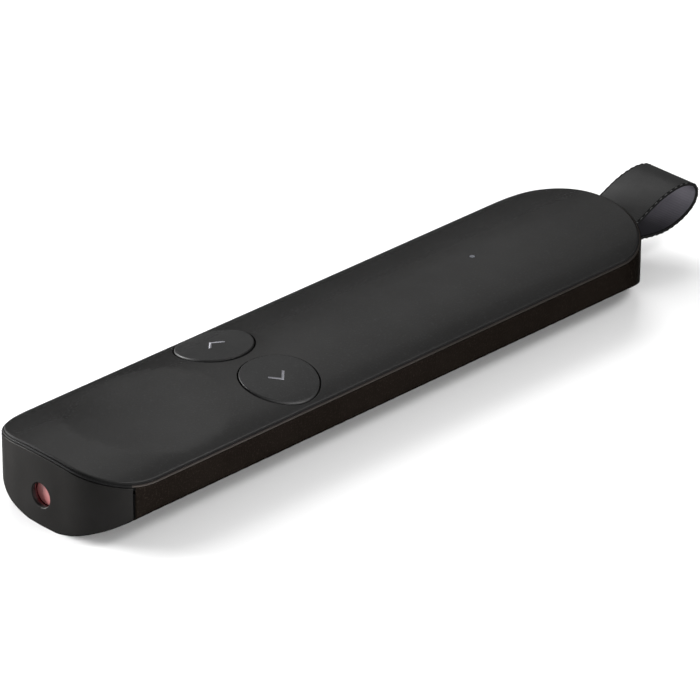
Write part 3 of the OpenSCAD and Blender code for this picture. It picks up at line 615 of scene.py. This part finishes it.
DRESS = {
    "top_cover": PLASTIC, "light_pipe": WINDOW, "status_led": LED, "laser_window": GLASS,
    "laser_barrel": BRASS, "laser_lens": GLASS, "laser_diode": BRASS, "main_board": BOARD,
    "radio_shield": STEEL, "controller_chip": CHIP, "clock_crystal": STEEL, "laser_switch": STEEL,
    "previous_switch": STEEL, "next_switch": STEEL, "board_screws": STEEL, "battery_cell": FOIL,
    "flex_cable": FILM, "tail_board": BOARD, "charge_port_shell": STEEL, "charge_port_tongue": CHIP,
    "receiver_dock": PLASTIC, "dock_spring": STEEL, "key_hinge_pin": STEEL, "laser_key": PLASTIC,
    "key_frame": PLASTIC, "laser_switch_stem": CHIP, "previous_switch_stem": CHIP,
    "next_switch_stem": CHIP, "receiver_cap": CAP_PLASTIC, "receiver_plug_shell": STEEL,
    "receiver_plug_insert": CHIP, "receiver_contacts": BRASS, "strap_pin": STEEL,
    "lower_case": CASE, "nose_cap": NOSE, "soft_skin": SKIN, "key_skin": SKIN,
    "previous_button": BUTTON, "next_button": BUTTON, "previous_mark": PRINT, "next_mark": PRINT,
    "strap_loop": WEBBING,
}


def dress_nodes():
    for node_name, material in DRESS.items():
        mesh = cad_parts[node_name].data
        mesh.materials.clear()
        mesh.materials.append(material)


# ---- the soft top: one skin over the cover and the laser key ----
SKIN_N = 560  # points round its edge
SKIN_STEP = 1.1
SKIN_SLOT, RIM_SLOT, PAINTED_SHADE_SLOT = 0, 1, 2
ROLL_INSET = 0.72
ROLL_R = 0.3
SHADE_DROP = 0.08  # the rolled edge is painted shade below this
NOSE_RIM_SHADE_X = -12.5  # from here on, the rim over the nose is painted shade
BUTTON_N, BUTTON_HOLE_ROLL = 112, 0.14
LIGHT_N, LIGHT_HOLE_ROLL = 28, 0.06

# The edge from the skin's top to its underside: (inset from the outline, height on the top, slot)
SKIN_EDGE = [(0.87, 0.0, SKIN_SLOT), (0.74, 0.0, SKIN_SLOT)]
# Past SHADE_DROP the rolled edge takes the painted shade, as do the groove and the skirt below the rim
SKIN_EDGE += [(ROLL_INSET - i, -d, SKIN_SLOT if d < SHADE_DROP else PAINTED_SHADE_SLOT)
              for i, d in turn(ROLL_R, 6, 12, 86)]
SKIN_EDGE += [(0.41, -0.34, PAINTED_SHADE_SLOT), (0.34, -0.34, PAINTED_SHADE_SLOT), (0.325, -0.27, PAINTED_SHADE_SLOT)]
SKIN_EDGE += [(0.30, -0.24, RIM_SLOT), (0.16, -0.37, RIM_SLOT), (0.125, -0.41, RIM_SLOT),
              (0.12, -0.50, RIM_SLOT)]
SKIN_EDGE += [(0.20, -0.53, PAINTED_SHADE_SLOT), (0.20, -1.05, PAINTED_SHADE_SLOT), (1.0, -1.05, PAINTED_SHADE_SLOT),
              (1.0, -SKIN_T, PAINTED_SHADE_SLOT)]


def skin_edge(p, s):
    """The rolled edge, whose lower part is painted shade, a groove painted as shade, and the rim, which is
    painted shade along the nose.
    """
    rings = [lifted(top, outline(s, inset), rise) for inset, rise, _ in SKIN_EDGE]
    slots = np.array([slot for _, _, slot in SKIN_EDGE[1:]])[:, None]
    x, y, _ = rings[0].T
    painted_shade_over_nose = (y < SEAM_Y) & (x > NOSE_RIM_SHADE_X)
    p.rows(rings, np.where((slots == RIM_SLOT) & painted_shade_over_nose, PAINTED_SHADE_SLOT, slots))


def skin_hole(p, x, y, r, roll, n):
    """A hole with a rolled edge. Gives back its loops on the skin's top and underside."""
    profile = [(r + 2 * roll, 0.0), (r + roll, 0.0)]
    profile += [(r + roll - i, -d) for i, d in turn(roll, 5, 15, 90)]
    profile.append((r, -SKIN_T))
    rings = [lifted(top, circle(x, y, radius, n), rise) for radius, rise in profile]
    p.rows(rings)
    return rings[0][:, :2], rings[-1][:, :2]


def skin_sheet(p, loop, holes, rise, slot, facing):
    flat, tris = flat_mesh(loop, holes, SKIN_STEP)
    p.add(lifted(top, flat, rise), tris, slot, surface_normals(top, *flat.T) * facing)


def soft_top():
    p = Piece()
    s = np.linspace(0, PLAN_L, SKIN_N, endpoint=False)
    skin_edge(p, s)
    holes = [skin_hole(p, x, BUTTON_Y, BUTTON_HOLE_R, BUTTON_HOLE_ROLL, BUTTON_N)
             for x in (BUTTON_X, -BUTTON_X)]
    holes.append(skin_hole(p, 0.0, LIGHT_Y, LIGHT_HOLE_R, LIGHT_HOLE_ROLL, LIGHT_N))
    upper, lower = zip(*holes)
    skin_sheet(p, outline(s, SKIN_EDGE[0][0]), upper, 0.0, SKIN_SLOT, 1)
    skin_sheet(p, outline(s, SKIN_EDGE[-1][0]), lower, -SKIN_T, PAINTED_SHADE_SLOT, -1)
    skin = p.make("soft_top", [SKIN, RIM, PAINTED_SHADE])
    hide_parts("soft_skin", "key_skin")
    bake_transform(skin)


# ---- casing: a lower case and a nose cap that meet at a seam ----
SEAM_GAP = 0.32
CASE_SEAM_BEVEL, NOSE_SEAM_BEVEL = 0.2, 0.08
THIN_BEVEL = 0.07  # of the seam's face above the shelf
THIN_FADE = 0.2  # the thin bevel sets in over this height, below the wall's top
FULL_START, FULL_FADE = 0.3, 0.4  # the full bevel: how far below the shelf it starts, and its fade's height
HALFWAY_IN, HALFWAY_ALONG = 0.3, 0.7  # of the bevel, at its middle row of points
CASE_BEVEL, NOSE_BEVEL = 0.06, 0.1  # of the upper edge
CASE_RISE, NOSE_DROP = 0.06, 0.05  # of the upper edge, against the skin's underside
FRONT_DROP = 0.17  # further, over the nose's front
FRONT_START_X, FRONT_START_EASE = -14.0, 10.0
FRONT_END_X, FRONT_END_EASE = 14.5, 6.0
FOOT = 0.45  # rounding between the underside and the walls
LEAST_LIP, LIP_STEP, LIP_DROP = 0.08, 0.02, 0.03
SHELF_DROP = 1.6
OPENING_BEVEL = 0.15
# The bevel of an opening: (share of the way in to the bore, depth as a share of the bevel)
OPENING_TURN = [(0.12, 0.02), (0.85, 0.9), (1.0, 1.2)]
OPENING_HALF = 14.0  # each way from the middle of the end wall
# In the case shell the dark slot and the painted bore slot are painted shade; in the nose, the painted bore
# slot is a painted red reflection of the lens
SHELL_SLOT, DARK_SLOT, PAINTED_BORE_SLOT = 0, 1, 2

# Spacing of the meshes and numbers of points
PAIR_STEP, WALL_STEP, UNDER_STEP = 0.9, 0.9, 1.3
INNER_WALL_STEP, INNER_FLOOR_STEP, FACE_STEP = 2.0, 2.4, 3.0
FOOT_N, UNDER_N, INNER_N, LASER_N, OPENING_N = 7, 31, 21, 56, 1200
LEVELS = np.linspace(0, 1, 9)


def case_rim(x):
    """Height of the lower case's upper edge."""
    return crown(x) - SKIN_T + CASE_RISE


def nose_rim(x):
    """Height of the nose cap's upper edge, which dips over the front."""
    front = np.clip((x - FRONT_START_X) / FRONT_START_EASE, 0, 1)
    front *= np.clip((FRONT_END_X - x) / FRONT_END_EASE, 0, 1)
    return crown(x) - SKIN_T - NOSE_DROP - FRONT_DROP * front


def climb(low, high, k):
    """Heights in even steps from one line to another, at their point k."""
    return low[k] + (high[k] - low[k]) * LEVELS


class Casing:
    """A shell of the casing, from the seam round the nose or round the tail."""

    def __init__(self, nose):
        side = -1 if nose else 1
        self.nose = nose
        self.seam_bevel = NOSE_SEAM_BEVEL if nose else CASE_SEAM_BEVEL
        self.bevel = NOSE_BEVEL if nose else CASE_BEVEL
        self.edge_y = SEAM_Y + side * (SEAM_GAP / 2 + self.seam_bevel)
        self.face_y = SEAM_Y + side * SEAM_GAP / 2
        end = s_at_y(self.edge_y)
        start, stop = (-end, end) if nose else (end, PLAN_L - end)
        self.s = np.linspace(start, stop, 2 * int((stop - start) / PAIR_STEP) + 1)
        x = outline(self.s)[:, 0]
        self.rim = nose_rim(x) if nose else case_rim(x)
        self.wall_top = self.rim - self.bevel
        self.shelf_z = self.rim - SHELF_DROP + SKIN_T
        self.hull = Hull()
        self.inner_hull = Hull(WALL, FLOOR_T)
        self.piece = Piece()

    def underside(self):
        """The hull, unrolled flat, with a rounded foot where it meets the walls."""
        hull = self.hull
        plan = outline(self.s)
        unrolled = np.c_[hull.unroll(PLAN[:, 0]), PLAN[:, 1]]
        inward = square_to_cut(normals_at(left_normals(unrolled), self.s), plan[:, 1], self.edge_y)
        plan[[0, -1], 1] = self.edge_y
        corner = np.c_[hull.unroll(plan[:, 0]), plan[:, 1]]
        start = corner + inward * FOOT
        start[[0, -1], 1] = self.edge_y
        a, c = hull.points(start), hull.points(corner)
        c[:, :2] = plan
        b = c + [0, 0, FOOT]
        self.foot = [a * (1 - t) ** 2 + 2 * c * t * (1 - t) + b * t * t for t in np.linspace(0, 1, FOOT_N)]
        self.base_z = b[:, 2]
        self.piece.rows(self.foot, closed_rings=False)
        across = np.linspace(start[-1], start[0], UNDER_N)[1:-1]
        flat, tris = flat_mesh(np.vstack([start, across]), (), UNDER_STEP)
        self.piece.add(hull.points(flat), tris, SHELL_SLOT, hull.normals(flat))
        self.under_seam = hull.points(across)

    def opening(self, grow):
        """The laser's opening or the dock's mouth, as a loop of (X, Z)."""
        if self.nose:
            return circle(0, LASER_Z, LASER_R + grow, LASER_N)
        return rounded_box(MOUTH_W + 2 * grow, MOUTH_H + 2 * grow, MOUTH_R + grow) + [0, DOCK_Z]

    def unwrapped(self, xz, inset):
        """Points of the end wall at (X, Z), as lengths along the outline and heights."""
        middle = 0.0 if self.nose else PLAN_L / 2
        s = np.linspace(middle - OPENING_HALF, middle + OPENING_HALF, OPENING_N)
        x = outline(s, inset)[:, 0]
        order = np.argsort(x)
        return np.c_[np.interp(xz[:, 0], x[order], s[order]), xz[:, 1]]

    def on_wall(self, xz, inset):
        flat = self.unwrapped(xz, inset)
        return np.c_[outline(flat[:, 0], inset), flat[:, 1]]

    def wall(self, low, high, opening, inset, end_y, spacing):
        """The wall between two heights, filled flat round its opening and folded round the outline."""
        s = self.s
        ends = [np.c_[np.full(len(LEVELS) - 2, s[k]), climb(low, high, k)[1:-1]] for k in (-1, 0)]
        loop = np.vstack([np.c_[s, low], ends[0], np.c_[s, high][::-1], ends[1][::-1]])
        flat, tris = flat_mesh(loop, [self.unwrapped(opening, inset)], spacing)
        xy = outline(flat[:, 0], inset, self.edge_y)
        xy[np.isclose(flat[:, 0], s[0]) | np.isclose(flat[:, 0], s[-1]), 1] = end_y
        outward = -np.c_[normals_at(INWARD, flat[:, 0]), np.zeros(len(flat))]
        self.piece.add(np.c_[xy, flat[:, 1]], tris, SHELL_SLOT, None if inset else outward)

    def outer_wall(self):
        self.wall(self.base_z, self.wall_top, self.opening(OPENING_BEVEL), 0, self.edge_y, WALL_STEP)

    def ring(self, inset, z, end_y):
        """The outline moved inwards, at the heights z, with its ends at end_y."""
        xy = outline(self.s, inset, self.edge_y)
        xy[[0, -1], 1] = end_y
        return np.c_[xy, z]

    def upper_edge(self):
        """The bevel on the wall, a lip, and the shelf inside it."""
        lip = max(self.bevel, LEAST_LIP)
        profile = [(0, self.wall_top)]
        for t in np.radians([30, 60, 90]):
            profile.append((self.bevel * (1 - math.cos(t)), self.wall_top + self.bevel * math.sin(t)))
        profile += [(lip, self.rim), (lip + LIP_STEP, self.rim - LIP_DROP), (lip + LIP_STEP, self.shelf_z)]
        self.upper_rings = [self.ring(inset, z, self.edge_y) for inset, z in profile]
        self.upper_rings.append(self.ring(WALL, self.shelf_z, self.face_y))
        self.piece.rows(self.upper_rings, closed_rings=False)

    def inner_faces(self):
        """The shell's own smooth inner wall and floor."""
        hull = self.inner_hull
        self.inner_xy = self.ring(WALL, 0 * self.s, self.face_y)[:, :2]
        self.inner_z = hull.height(self.inner_xy[:, 0])
        self.wall(self.inner_z, self.shelf_z, self.opening(0), WALL, self.face_y, INNER_WALL_STEP)
        unrolled = np.c_[hull.unroll(self.inner_xy[:, 0]), self.inner_xy[:, 1]]
        across = np.linspace(unrolled[-1], unrolled[0], INNER_N)[1:-1]
        flat, tris = flat_mesh(np.vstack([unrolled, across]), (), INNER_FLOOR_STEP)
        self.piece.add(hull.points(flat), tris)
        self.inner_seam = hull.points(across)

    def through_wall(self):
        """The opening: a small bevel, then straight in. In the nose its inner half carries a painted red
        reflection of the lens; in the case's mouth the way in is painted shade.
        """
        rim_line = self.on_wall(self.opening(OPENING_BEVEL), 0)
        bore_line = self.on_wall(self.opening(0), 0)
        way_in = 1 if self.nose else -1
        rings = [rim_line]
        for share, depth in OPENING_TURN:
            ring = rim_line + (bore_line - rim_line) * share
            ring[:, 1] += way_in * OPENING_BEVEL * depth
            rings.append(ring)
        rings += [self.on_wall(self.opening(0), inset) for inset in (WALL / 2, WALL)]
        slots = [SHELL_SLOT] * len(OPENING_TURN) + [DARK_SLOT, PAINTED_BORE_SLOT]
        self.piece.rows(rings, np.array(slots)[:, None])

    def seam_column(self, k):
        """Points down the end of the wall at the seam, from its lip to its foot."""
        lip = [ring[k] for ring in self.upper_rings[1:-1]]
        x, y, _ = self.upper_rings[0][k]
        wall = [np.array([x, y, z]) for z in climb(self.base_z, self.wall_top, k)]
        foot = [row[k] for row in self.foot[:-1]]
        return lip[::-1] + wall[::-1] + foot[::-1]

    def seam_steps(self, line):
        """How far each point of the seam's outer line moves inwards, in (X, Z)."""
        along = np.gradient(line[:, [0, 2]], axis=0)
        along /= np.maximum(np.hypot(*along.T), 1e-9)[:, None]
        inward = np.c_[along[:, 1], -along[:, 0]]
        if inward[len(line) // 2, 1] < 0:
            inward = -inward
        z = line[:, 2]
        depth = THIN_BEVEL * np.clip((self.wall_top[0] - z) / THIN_FADE, 0, 1)
        full = np.clip((self.shelf_z[0] - FULL_START - z) / FULL_FADE, 0, 1)
        depth += (self.seam_bevel - THIN_BEVEL) * full
        depth[[0, 1, -2, -1]] = 0
        return inward * depth[:, None]

    def inner_line(self):
        """The inner side of the seam's face: down from the shelf, across the floor and up again."""
        down = climb(self.inner_z, self.shelf_z, 0)[::-1]
        up = climb(self.inner_z, self.shelf_z, -1)
        return np.vstack([
            [[self.inner_xy[0, 0], self.face_y, z] for z in down],
            self.inner_seam[::-1],
            [[self.inner_xy[-1, 0], self.face_y, z] for z in up],
        ])

    def seam_face(self):
        """The face at the seam: a bevel round its outside, then flat."""
        line = np.array(self.seam_column(0) + list(self.under_seam[::-1]) + self.seam_column(-1)[::-1])
        step = self.seam_steps(line)
        tucked, halfway = line.copy(), line.copy()
        tucked[:, [0, 2]] += step
        tucked[:, 1] = self.face_y
        halfway[:, [0, 2]] += HALFWAY_IN * step
        halfway[:, 1] = self.edge_y + (self.face_y - self.edge_y) * HALFWAY_ALONG
        self.piece.rows([line, halfway, tucked], closed_rings=False)
        for k in (0, -1):
            self.piece.add([line[k], halfway[k], tucked[k], self.upper_rings[-1][k]], [(0, 1, 2, 3)])
        loop = np.vstack([tucked, self.inner_line()[::-1]])[:, [0, 2]]
        flat, tris = flat_mesh(loop, (), FACE_STEP)
        # On the case shell the dark slot of this flat face is painted shade; on the nose it is bore plastic
        self.piece.add(np.c_[flat[:, 0], np.full(len(flat), self.face_y), flat[:, 1]], tris, DARK_SLOT)


def casing(name, nose, materials, cad_node):
    shell = Casing(nose)
    shell.underside()
    shell.outer_wall()
    shell.upper_edge()
    shell.inner_faces()
    shell.through_wall()
    shell.seam_face()
    obj = shell.piece.make(name, materials)
    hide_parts(cad_node)
    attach(obj, "housing")


# ---- round buttons and their marks ----
BUTTON_ROLL = 0.22
CENTRE_R = 0.55
FACE_RINGS = 11
LAST_RING = 0.1  # width of the face's outermost row
# From the rolled edge down the side and across the back: (radius, depth)
BUTTON_BACK = [(BUTTON_R, 0.5), (BUTTON_R, 2.0), (0.6, 2.0)]
MARK_HALF_LINE = 0.21
MARK_ARM = 2.25
MARK_RISE, MARK_DEPTH = 0.012, 0.05
MARK_N = 9  # points along each arm


def button_ring(x0, r, drop=0.0):
    return lifted(button_top, circle(x0, BUTTON_Y, r, BUTTON_N), -drop)


def button_piece(x0):
    """A face that follows the crown, with a rolled edge, a side and a flat back."""
    p = Piece()
    face_r = BUTTON_R - BUTTON_ROLL
    radii = [*np.linspace(CENTRE_R, face_r - LAST_RING, FACE_RINGS), face_r]
    rings = [button_ring(x0, r) for r in radii]
    normals = [surface_normals(button_top, *ring[:, :2].T) for ring in rings]
    middle = np.array([[x0, BUTTON_Y]])
    p.add(np.vstack([rings[0], lifted(button_top, middle)]),
          [(i, (i + 1) % BUTTON_N, BUTTON_N) for i in range(BUTTON_N)], 0,
          np.vstack([normals[0], surface_normals(button_top, *middle.T)]))
    p.rows(rings, normals=normals)
    edge = [rings[-1]]
    edge += [button_ring(x0, face_r + i, d) for i, d in turn(BUTTON_ROLL, 6, 15, 90)]
    edge += [button_ring(x0, r, d) for r, d in BUTTON_BACK]
    p.rows(edge)
    p.add(edge[-1], [tuple(range(BUTTON_N))])
    return p


def mark_piece(x0):
    """A thin printed chevron that points outwards."""
    way = 1 if x0 > 0 else -1
    reach = MARK_ARM / math.sqrt(2)
    mitre = MARK_HALF_LINE * math.sqrt(2)
    t = np.linspace(0, 1, MARK_N)[:, None]
    sides = []
    for w in (mitre, -mitre):
        end = np.array([(w - reach) / 2, reach + w / 2])
        tip = np.array([reach / 2 + w, 0])
        arms = [end + (tip - end) * t, tip + (end * [1, -1] - tip) * t[1:]]
        sides.append(np.vstack(arms) * [way, 1] + [x0, BUTTON_Y])
    outer, inner = sides
    corners = [(outer, MARK_RISE), (inner, MARK_RISE), (inner, -MARK_DEPTH), (outer, -MARK_DEPTH)]
    rings = list(np.stack([lifted(button_top, xy, rise) for xy, rise in corners], axis=1))
    p = Piece()
    p.rows(rings)
    for ring in (rings[0], rings[-1]):
        p.add(ring, [(0, 1, 2, 3)])
    return p


def round_button(name, x0, body, cad_button, cad_mark):
    button = button_piece(x0).make(name, [BUTTON])
    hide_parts(cad_button)
    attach(button, body)
    mark = mark_piece(x0).make(name.replace("button", "mark"), [PRINT])
    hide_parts(cad_mark)
    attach(mark, body)


# ---- webbing loop ----
EYE_R = 1.35
WEB_W = 10.4
WEB_T = 0.5
RIB, RIB_H, RIB_STEPS = 0.5, 0.012, 4
BEAD = 0.27  # radius of the selvedges
BEAD_GAP = 0.1
BEAD_END = 80  # degrees, where a selvedge meets the band's faces
BAND_N, BEAD_N = 31, 9
STITCH_PITCH, STITCH_L, STITCH_R = 1.25, 0.6, 0.08
STITCH_INSET, STITCH_SINK, STITCH_SIDES = 0.15, 0.02, 6
# Along a stitch: (place as a share of its length, radius as a share of its full one)
STITCH_SHAPE = [(-0.5, 0.3), (-0.4, 1), (0, 1), (0.4, 1), (0.5, 0.3)]
WEB_BLEND, WEB_REACH = 0.35, 40
SPLINE_N, EYE_N = 60, 180
FACE_SLOT, BACK_SLOT, SELVEDGE_SHADE_SLOT, THREAD_SLOT = 0, 1, 2, 3
# Outer face of the loop in (Y, Z), from the pin over the fold and back under it
WEB_FACE = [
    (50.5, 8.55), (53.2, 8.6), (55.8, 9.25), (58.4, 10.45), (61.2, 11.6), (63.6, 12.2), (65.8, 12.45),
    (67.9, 12.2), (69.5, 11.5), (70.35, 10.2), (70.2, 8.7), (69.1, 7.2), (66.4, 5.75), (62.8, 5.0),
    (59.4, 5.2), (56.4, 5.7), (53.2, 5.9), (50.5, 5.85),
]


def curve(a, b, c, d, t):
    """A smooth stretch from b to c, in line with a before them and d after them."""
    bend = a - 2.5 * b + 2 * c - d / 2
    twist = 1.5 * (b - c) + (d - a) / 2
    return b + t * (c - a) / 2 + t * t * bend + t ** 3 * twist


def in_ribs(line, step):
    """A closed line in even steps, as many as whole ribs need."""
    line = closed(line)
    return spaced(line, int(lengths(line)[-1] / step / RIB_STEPS) * RIB_STEPS)


def webbing_line(step):
    """The loop's outer face as a closed line, which goes round the pin too, and its outward normals."""
    behind_pin = np.array([[PIN_Y - EYE_R, DOCK_Z]])
    points = np.vstack([behind_pin, WEB_FACE, behind_pin])
    t = np.linspace(0, 1, SPLINE_N, endpoint=False)[:, None]
    line = [curve(a, b, c, d, t) for a, b, c, d in zip(points, points[1:], points[2:], points[3:])]
    back = np.radians(np.linspace(270, 90, EYE_N))
    line.append(np.c_[PIN_Y + EYE_R * np.cos(back), DOCK_Z + EYE_R * np.sin(back)])
    line = blurred(in_ribs(np.vstack(line), step), WEB_BLEND / step, WEB_REACH)
    line = in_ribs(line, step)
    return line, left_normals(line)


def webbing_section():
    """Round the band: (X, height over its middle, and 1 on its face, -1 on its back, 0 on a selvedge)."""
    half, t = WEB_W / 2, WEB_T / 2
    xs = np.linspace(BEAD - half + BEAD_GAP, half - BEAD - BEAD_GAP, BAND_N)
    a = np.radians(np.linspace(BEAD_END, -BEAD_END, BEAD_N))
    section = [(x, t, 1) for x in xs]
    section += [(half - BEAD + BEAD * math.cos(v), BEAD * math.sin(v), 0) for v in a]
    section += [(x, -t, -1) for x in xs[::-1]]
    section += [(BEAD - half - BEAD * math.cos(v), -BEAD * math.sin(v), 0) for v in a]
    return np.array(section)


def stitch(p, middle, along):
    """A short thread with round ends."""
    across = np.array([1.0, 0, 0])
    up = np.cross(along, across)
    a = np.linspace(0, 2 * np.pi, STITCH_SIDES, endpoint=False)[:, None]
    rings = []
    for at, share in STITCH_SHAPE:
        round_it = STITCH_R * share * (np.cos(a) * across + np.sin(a) * up)
        rings.append(middle + at * STITCH_L * along + round_it)
    p.rows(rings, THREAD_SLOT)
    for ring in (rings[0], rings[-1]):
        p.add(ring, [tuple(range(STITCH_SIDES))], THREAD_SLOT)


def webbing():
    """Ribbed band with round selvedges, and a row of stitches along each of them."""
    step = RIB / RIB_STEPS
    line, out = webbing_line(step)
    x, height, face = webbing_section().T
    rings = []
    for i, ((y, z), (ny, nz)) in enumerate(zip(line, out)):
        rib = RIB_H * math.cos(2 * math.pi * i / RIB_STEPS)
        depth = height - WEB_T / 2 + rib * face
        rings.append(np.c_[x, y + depth * ny, z + depth * nz])
    # The selvedge slot carries painted shade
    side = np.select([face > 0, face < 0], [FACE_SLOT, BACK_SLOT], SELVEDGE_SHADE_SLOT)
    p = Piece()
    p.rows(rings + rings[:1], np.where(side == np.roll(side, -1), side, SELVEDGE_SHADE_SLOT))
    for x0 in (WEB_W / 2 - STITCH_INSET, STITCH_INSET - WEB_W / 2):
        for i in range(0, len(line), int(STITCH_PITCH / step)):
            middle = line[i] - STITCH_SINK * out[i]
            stitch(p, np.array([x0, *middle]), np.array([0, out[i, 1], -out[i, 0]]))
    band = p.make("webbing_band", [WEBBING, WEBBING_BACK, SELVEDGE_SHADE, THREAD])
    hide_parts("strap_loop")
    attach(band, "webbing_body")


# ---- camera ----
AZIMUTH, ELEVATION, ROLL = 45.667, 28.204, 0.199  # degrees
FOCAL_PX = 5285.6
PX_PER_MM = 6.317  # at the aim
PICTURE_PX = 700
AIM_Y = -8.5
AIM_PX = 335.73, 390.40
SENSOR = 36.0


def camera():
    azimuth, elevation, roll = (math.radians(angle) for angle in (AZIMUTH, ELEVATION, ROLL))
    distance = FOCAL_PX / PX_PER_MM * MM
    back = Vector((math.sin(azimuth) * math.cos(elevation), -math.cos(azimuth) * math.cos(elevation),
                   math.sin(elevation)))
    level = Vector((math.cos(azimuth), math.sin(azimuth), 0))
    upright = back.cross(level)
    right = level * math.cos(roll) + upright * math.sin(roll)
    up = upright * math.cos(roll) - level * math.sin(roll)
    shift_x, shift_y = ((px - PICTURE_PX / 2) * distance / FOCAL_PX for px in AIM_PX)
    place = Vector((0, AIM_Y * MM, 0)) + back * distance - right * shift_x + up * shift_y
    data = bpy.data.cameras.new("camera")
    data.sensor_width = SENSOR
    data.lens = FOCAL_PX / PICTURE_PX * SENSOR
    data.clip_start = 0.01
    data.clip_end = 10.0
    cam = bpy.data.objects.new("camera", data)
    bpy.context.scene.collection.objects.link(cam)
    cam.matrix_world = Matrix((*zip(right, up, back, place), (0, 0, 0, 1)))
    bpy.context.scene.camera = cam


# ---- floor and light, in metres and watts ----
FLOOR_HALF = 3.0
WORLD_STRENGTH = 0.27
# name: place, aim, size, power
LAMPS = {
    "behind": ((-0.392, 0.329, 0.477), (0, 0, 0), (0.4, 0.4), 2.8),
    "left": ((-0.288, -0.20, 0.024), (0, -0.065, 0.006), (0.17, 0.035), 7.4),
    "right": ((0.22, -0.005, 0.016), (0.015, -0.06, 0.006), (0.1, 0.024), 0.85),
    "rim": ((0.153, 0.046, 0.194), (0, -0.05, 0), (0.07, 0.07), 0.26),
    "front": ((-0.29, -0.29, 0.19), (0, 0, 0), (0.3, 0.3), 0.8),
    "near": ((0.29, -0.29, 0.14), (0, 0, 0), (0.25, 0.25), 0.6),
}


def floor_material():
    material = bpy.data.materials.new("pale_floor")
    material.use_nodes = True
    shader = material.node_tree.nodes["Principled BSDF"]
    shader.inputs["Base Color"].default_value = (0.9, 0.9, 0.9, 1)
    shader.inputs["Roughness"].default_value = 0.9
    shader.inputs["Specular IOR Level"].default_value = 0.1
    return material


def stage():
    e = FLOOR_HALF
    mesh = bpy.data.meshes.new("floor")
    mesh.from_pydata([(-e, -e, 0), (e, -e, 0), (e, e, 0), (-e, e, 0)], [], [(0, 1, 2, 3)])
    mesh.materials.append(floor_material())
    floor = bpy.data.objects.new("floor", mesh)
    bpy.context.scene.collection.objects.link(floor)


def lamp(name, place, aim, size, power):
    data = bpy.data.lights.new(name, "AREA")
    data.shape = "RECTANGLE"
    data.size, data.size_y = size
    data.energy = power
    obj = bpy.data.objects.new(name, data)
    bpy.context.scene.collection.objects.link(obj)
    obj.location = place
    obj.rotation_mode = "QUATERNION"
    obj.rotation_quaternion = (Vector(aim) - Vector(place)).to_track_quat("-Z", "Y")


def lights():
    world = bpy.data.worlds.new("studio")
    bpy.context.scene.world = world
    world.use_nodes = True
    background = world.node_tree.nodes["Background"]
    background.inputs["Color"].default_value = (1, 1, 1, 1)
    background.inputs["Strength"].default_value = WORLD_STRENGTH
    for name, values in LAMPS.items():
        lamp(name, *values)


dress_nodes()
soft_top()
# The case shell's seam face and the way into its mouth are painted shade
casing("case_shell", False, [CASE, PAINTED_SHADE, PAINTED_SHADE], "lower_case")
casing("nose_shell", True, [NOSE, BORE, PAINTED_LENS_REFLECTION], "nose_cap")
round_button("previous_button_face", BUTTON_X, "previous_button_body", "previous_button", "previous_mark")
round_button("next_button_face", -BUTTON_X, "next_button_body", "next_button", "next_mark")
webbing()
camera()
stage()
lights()
scene = bpy.context.scene
scene.view_settings.view_transform = "Standard"
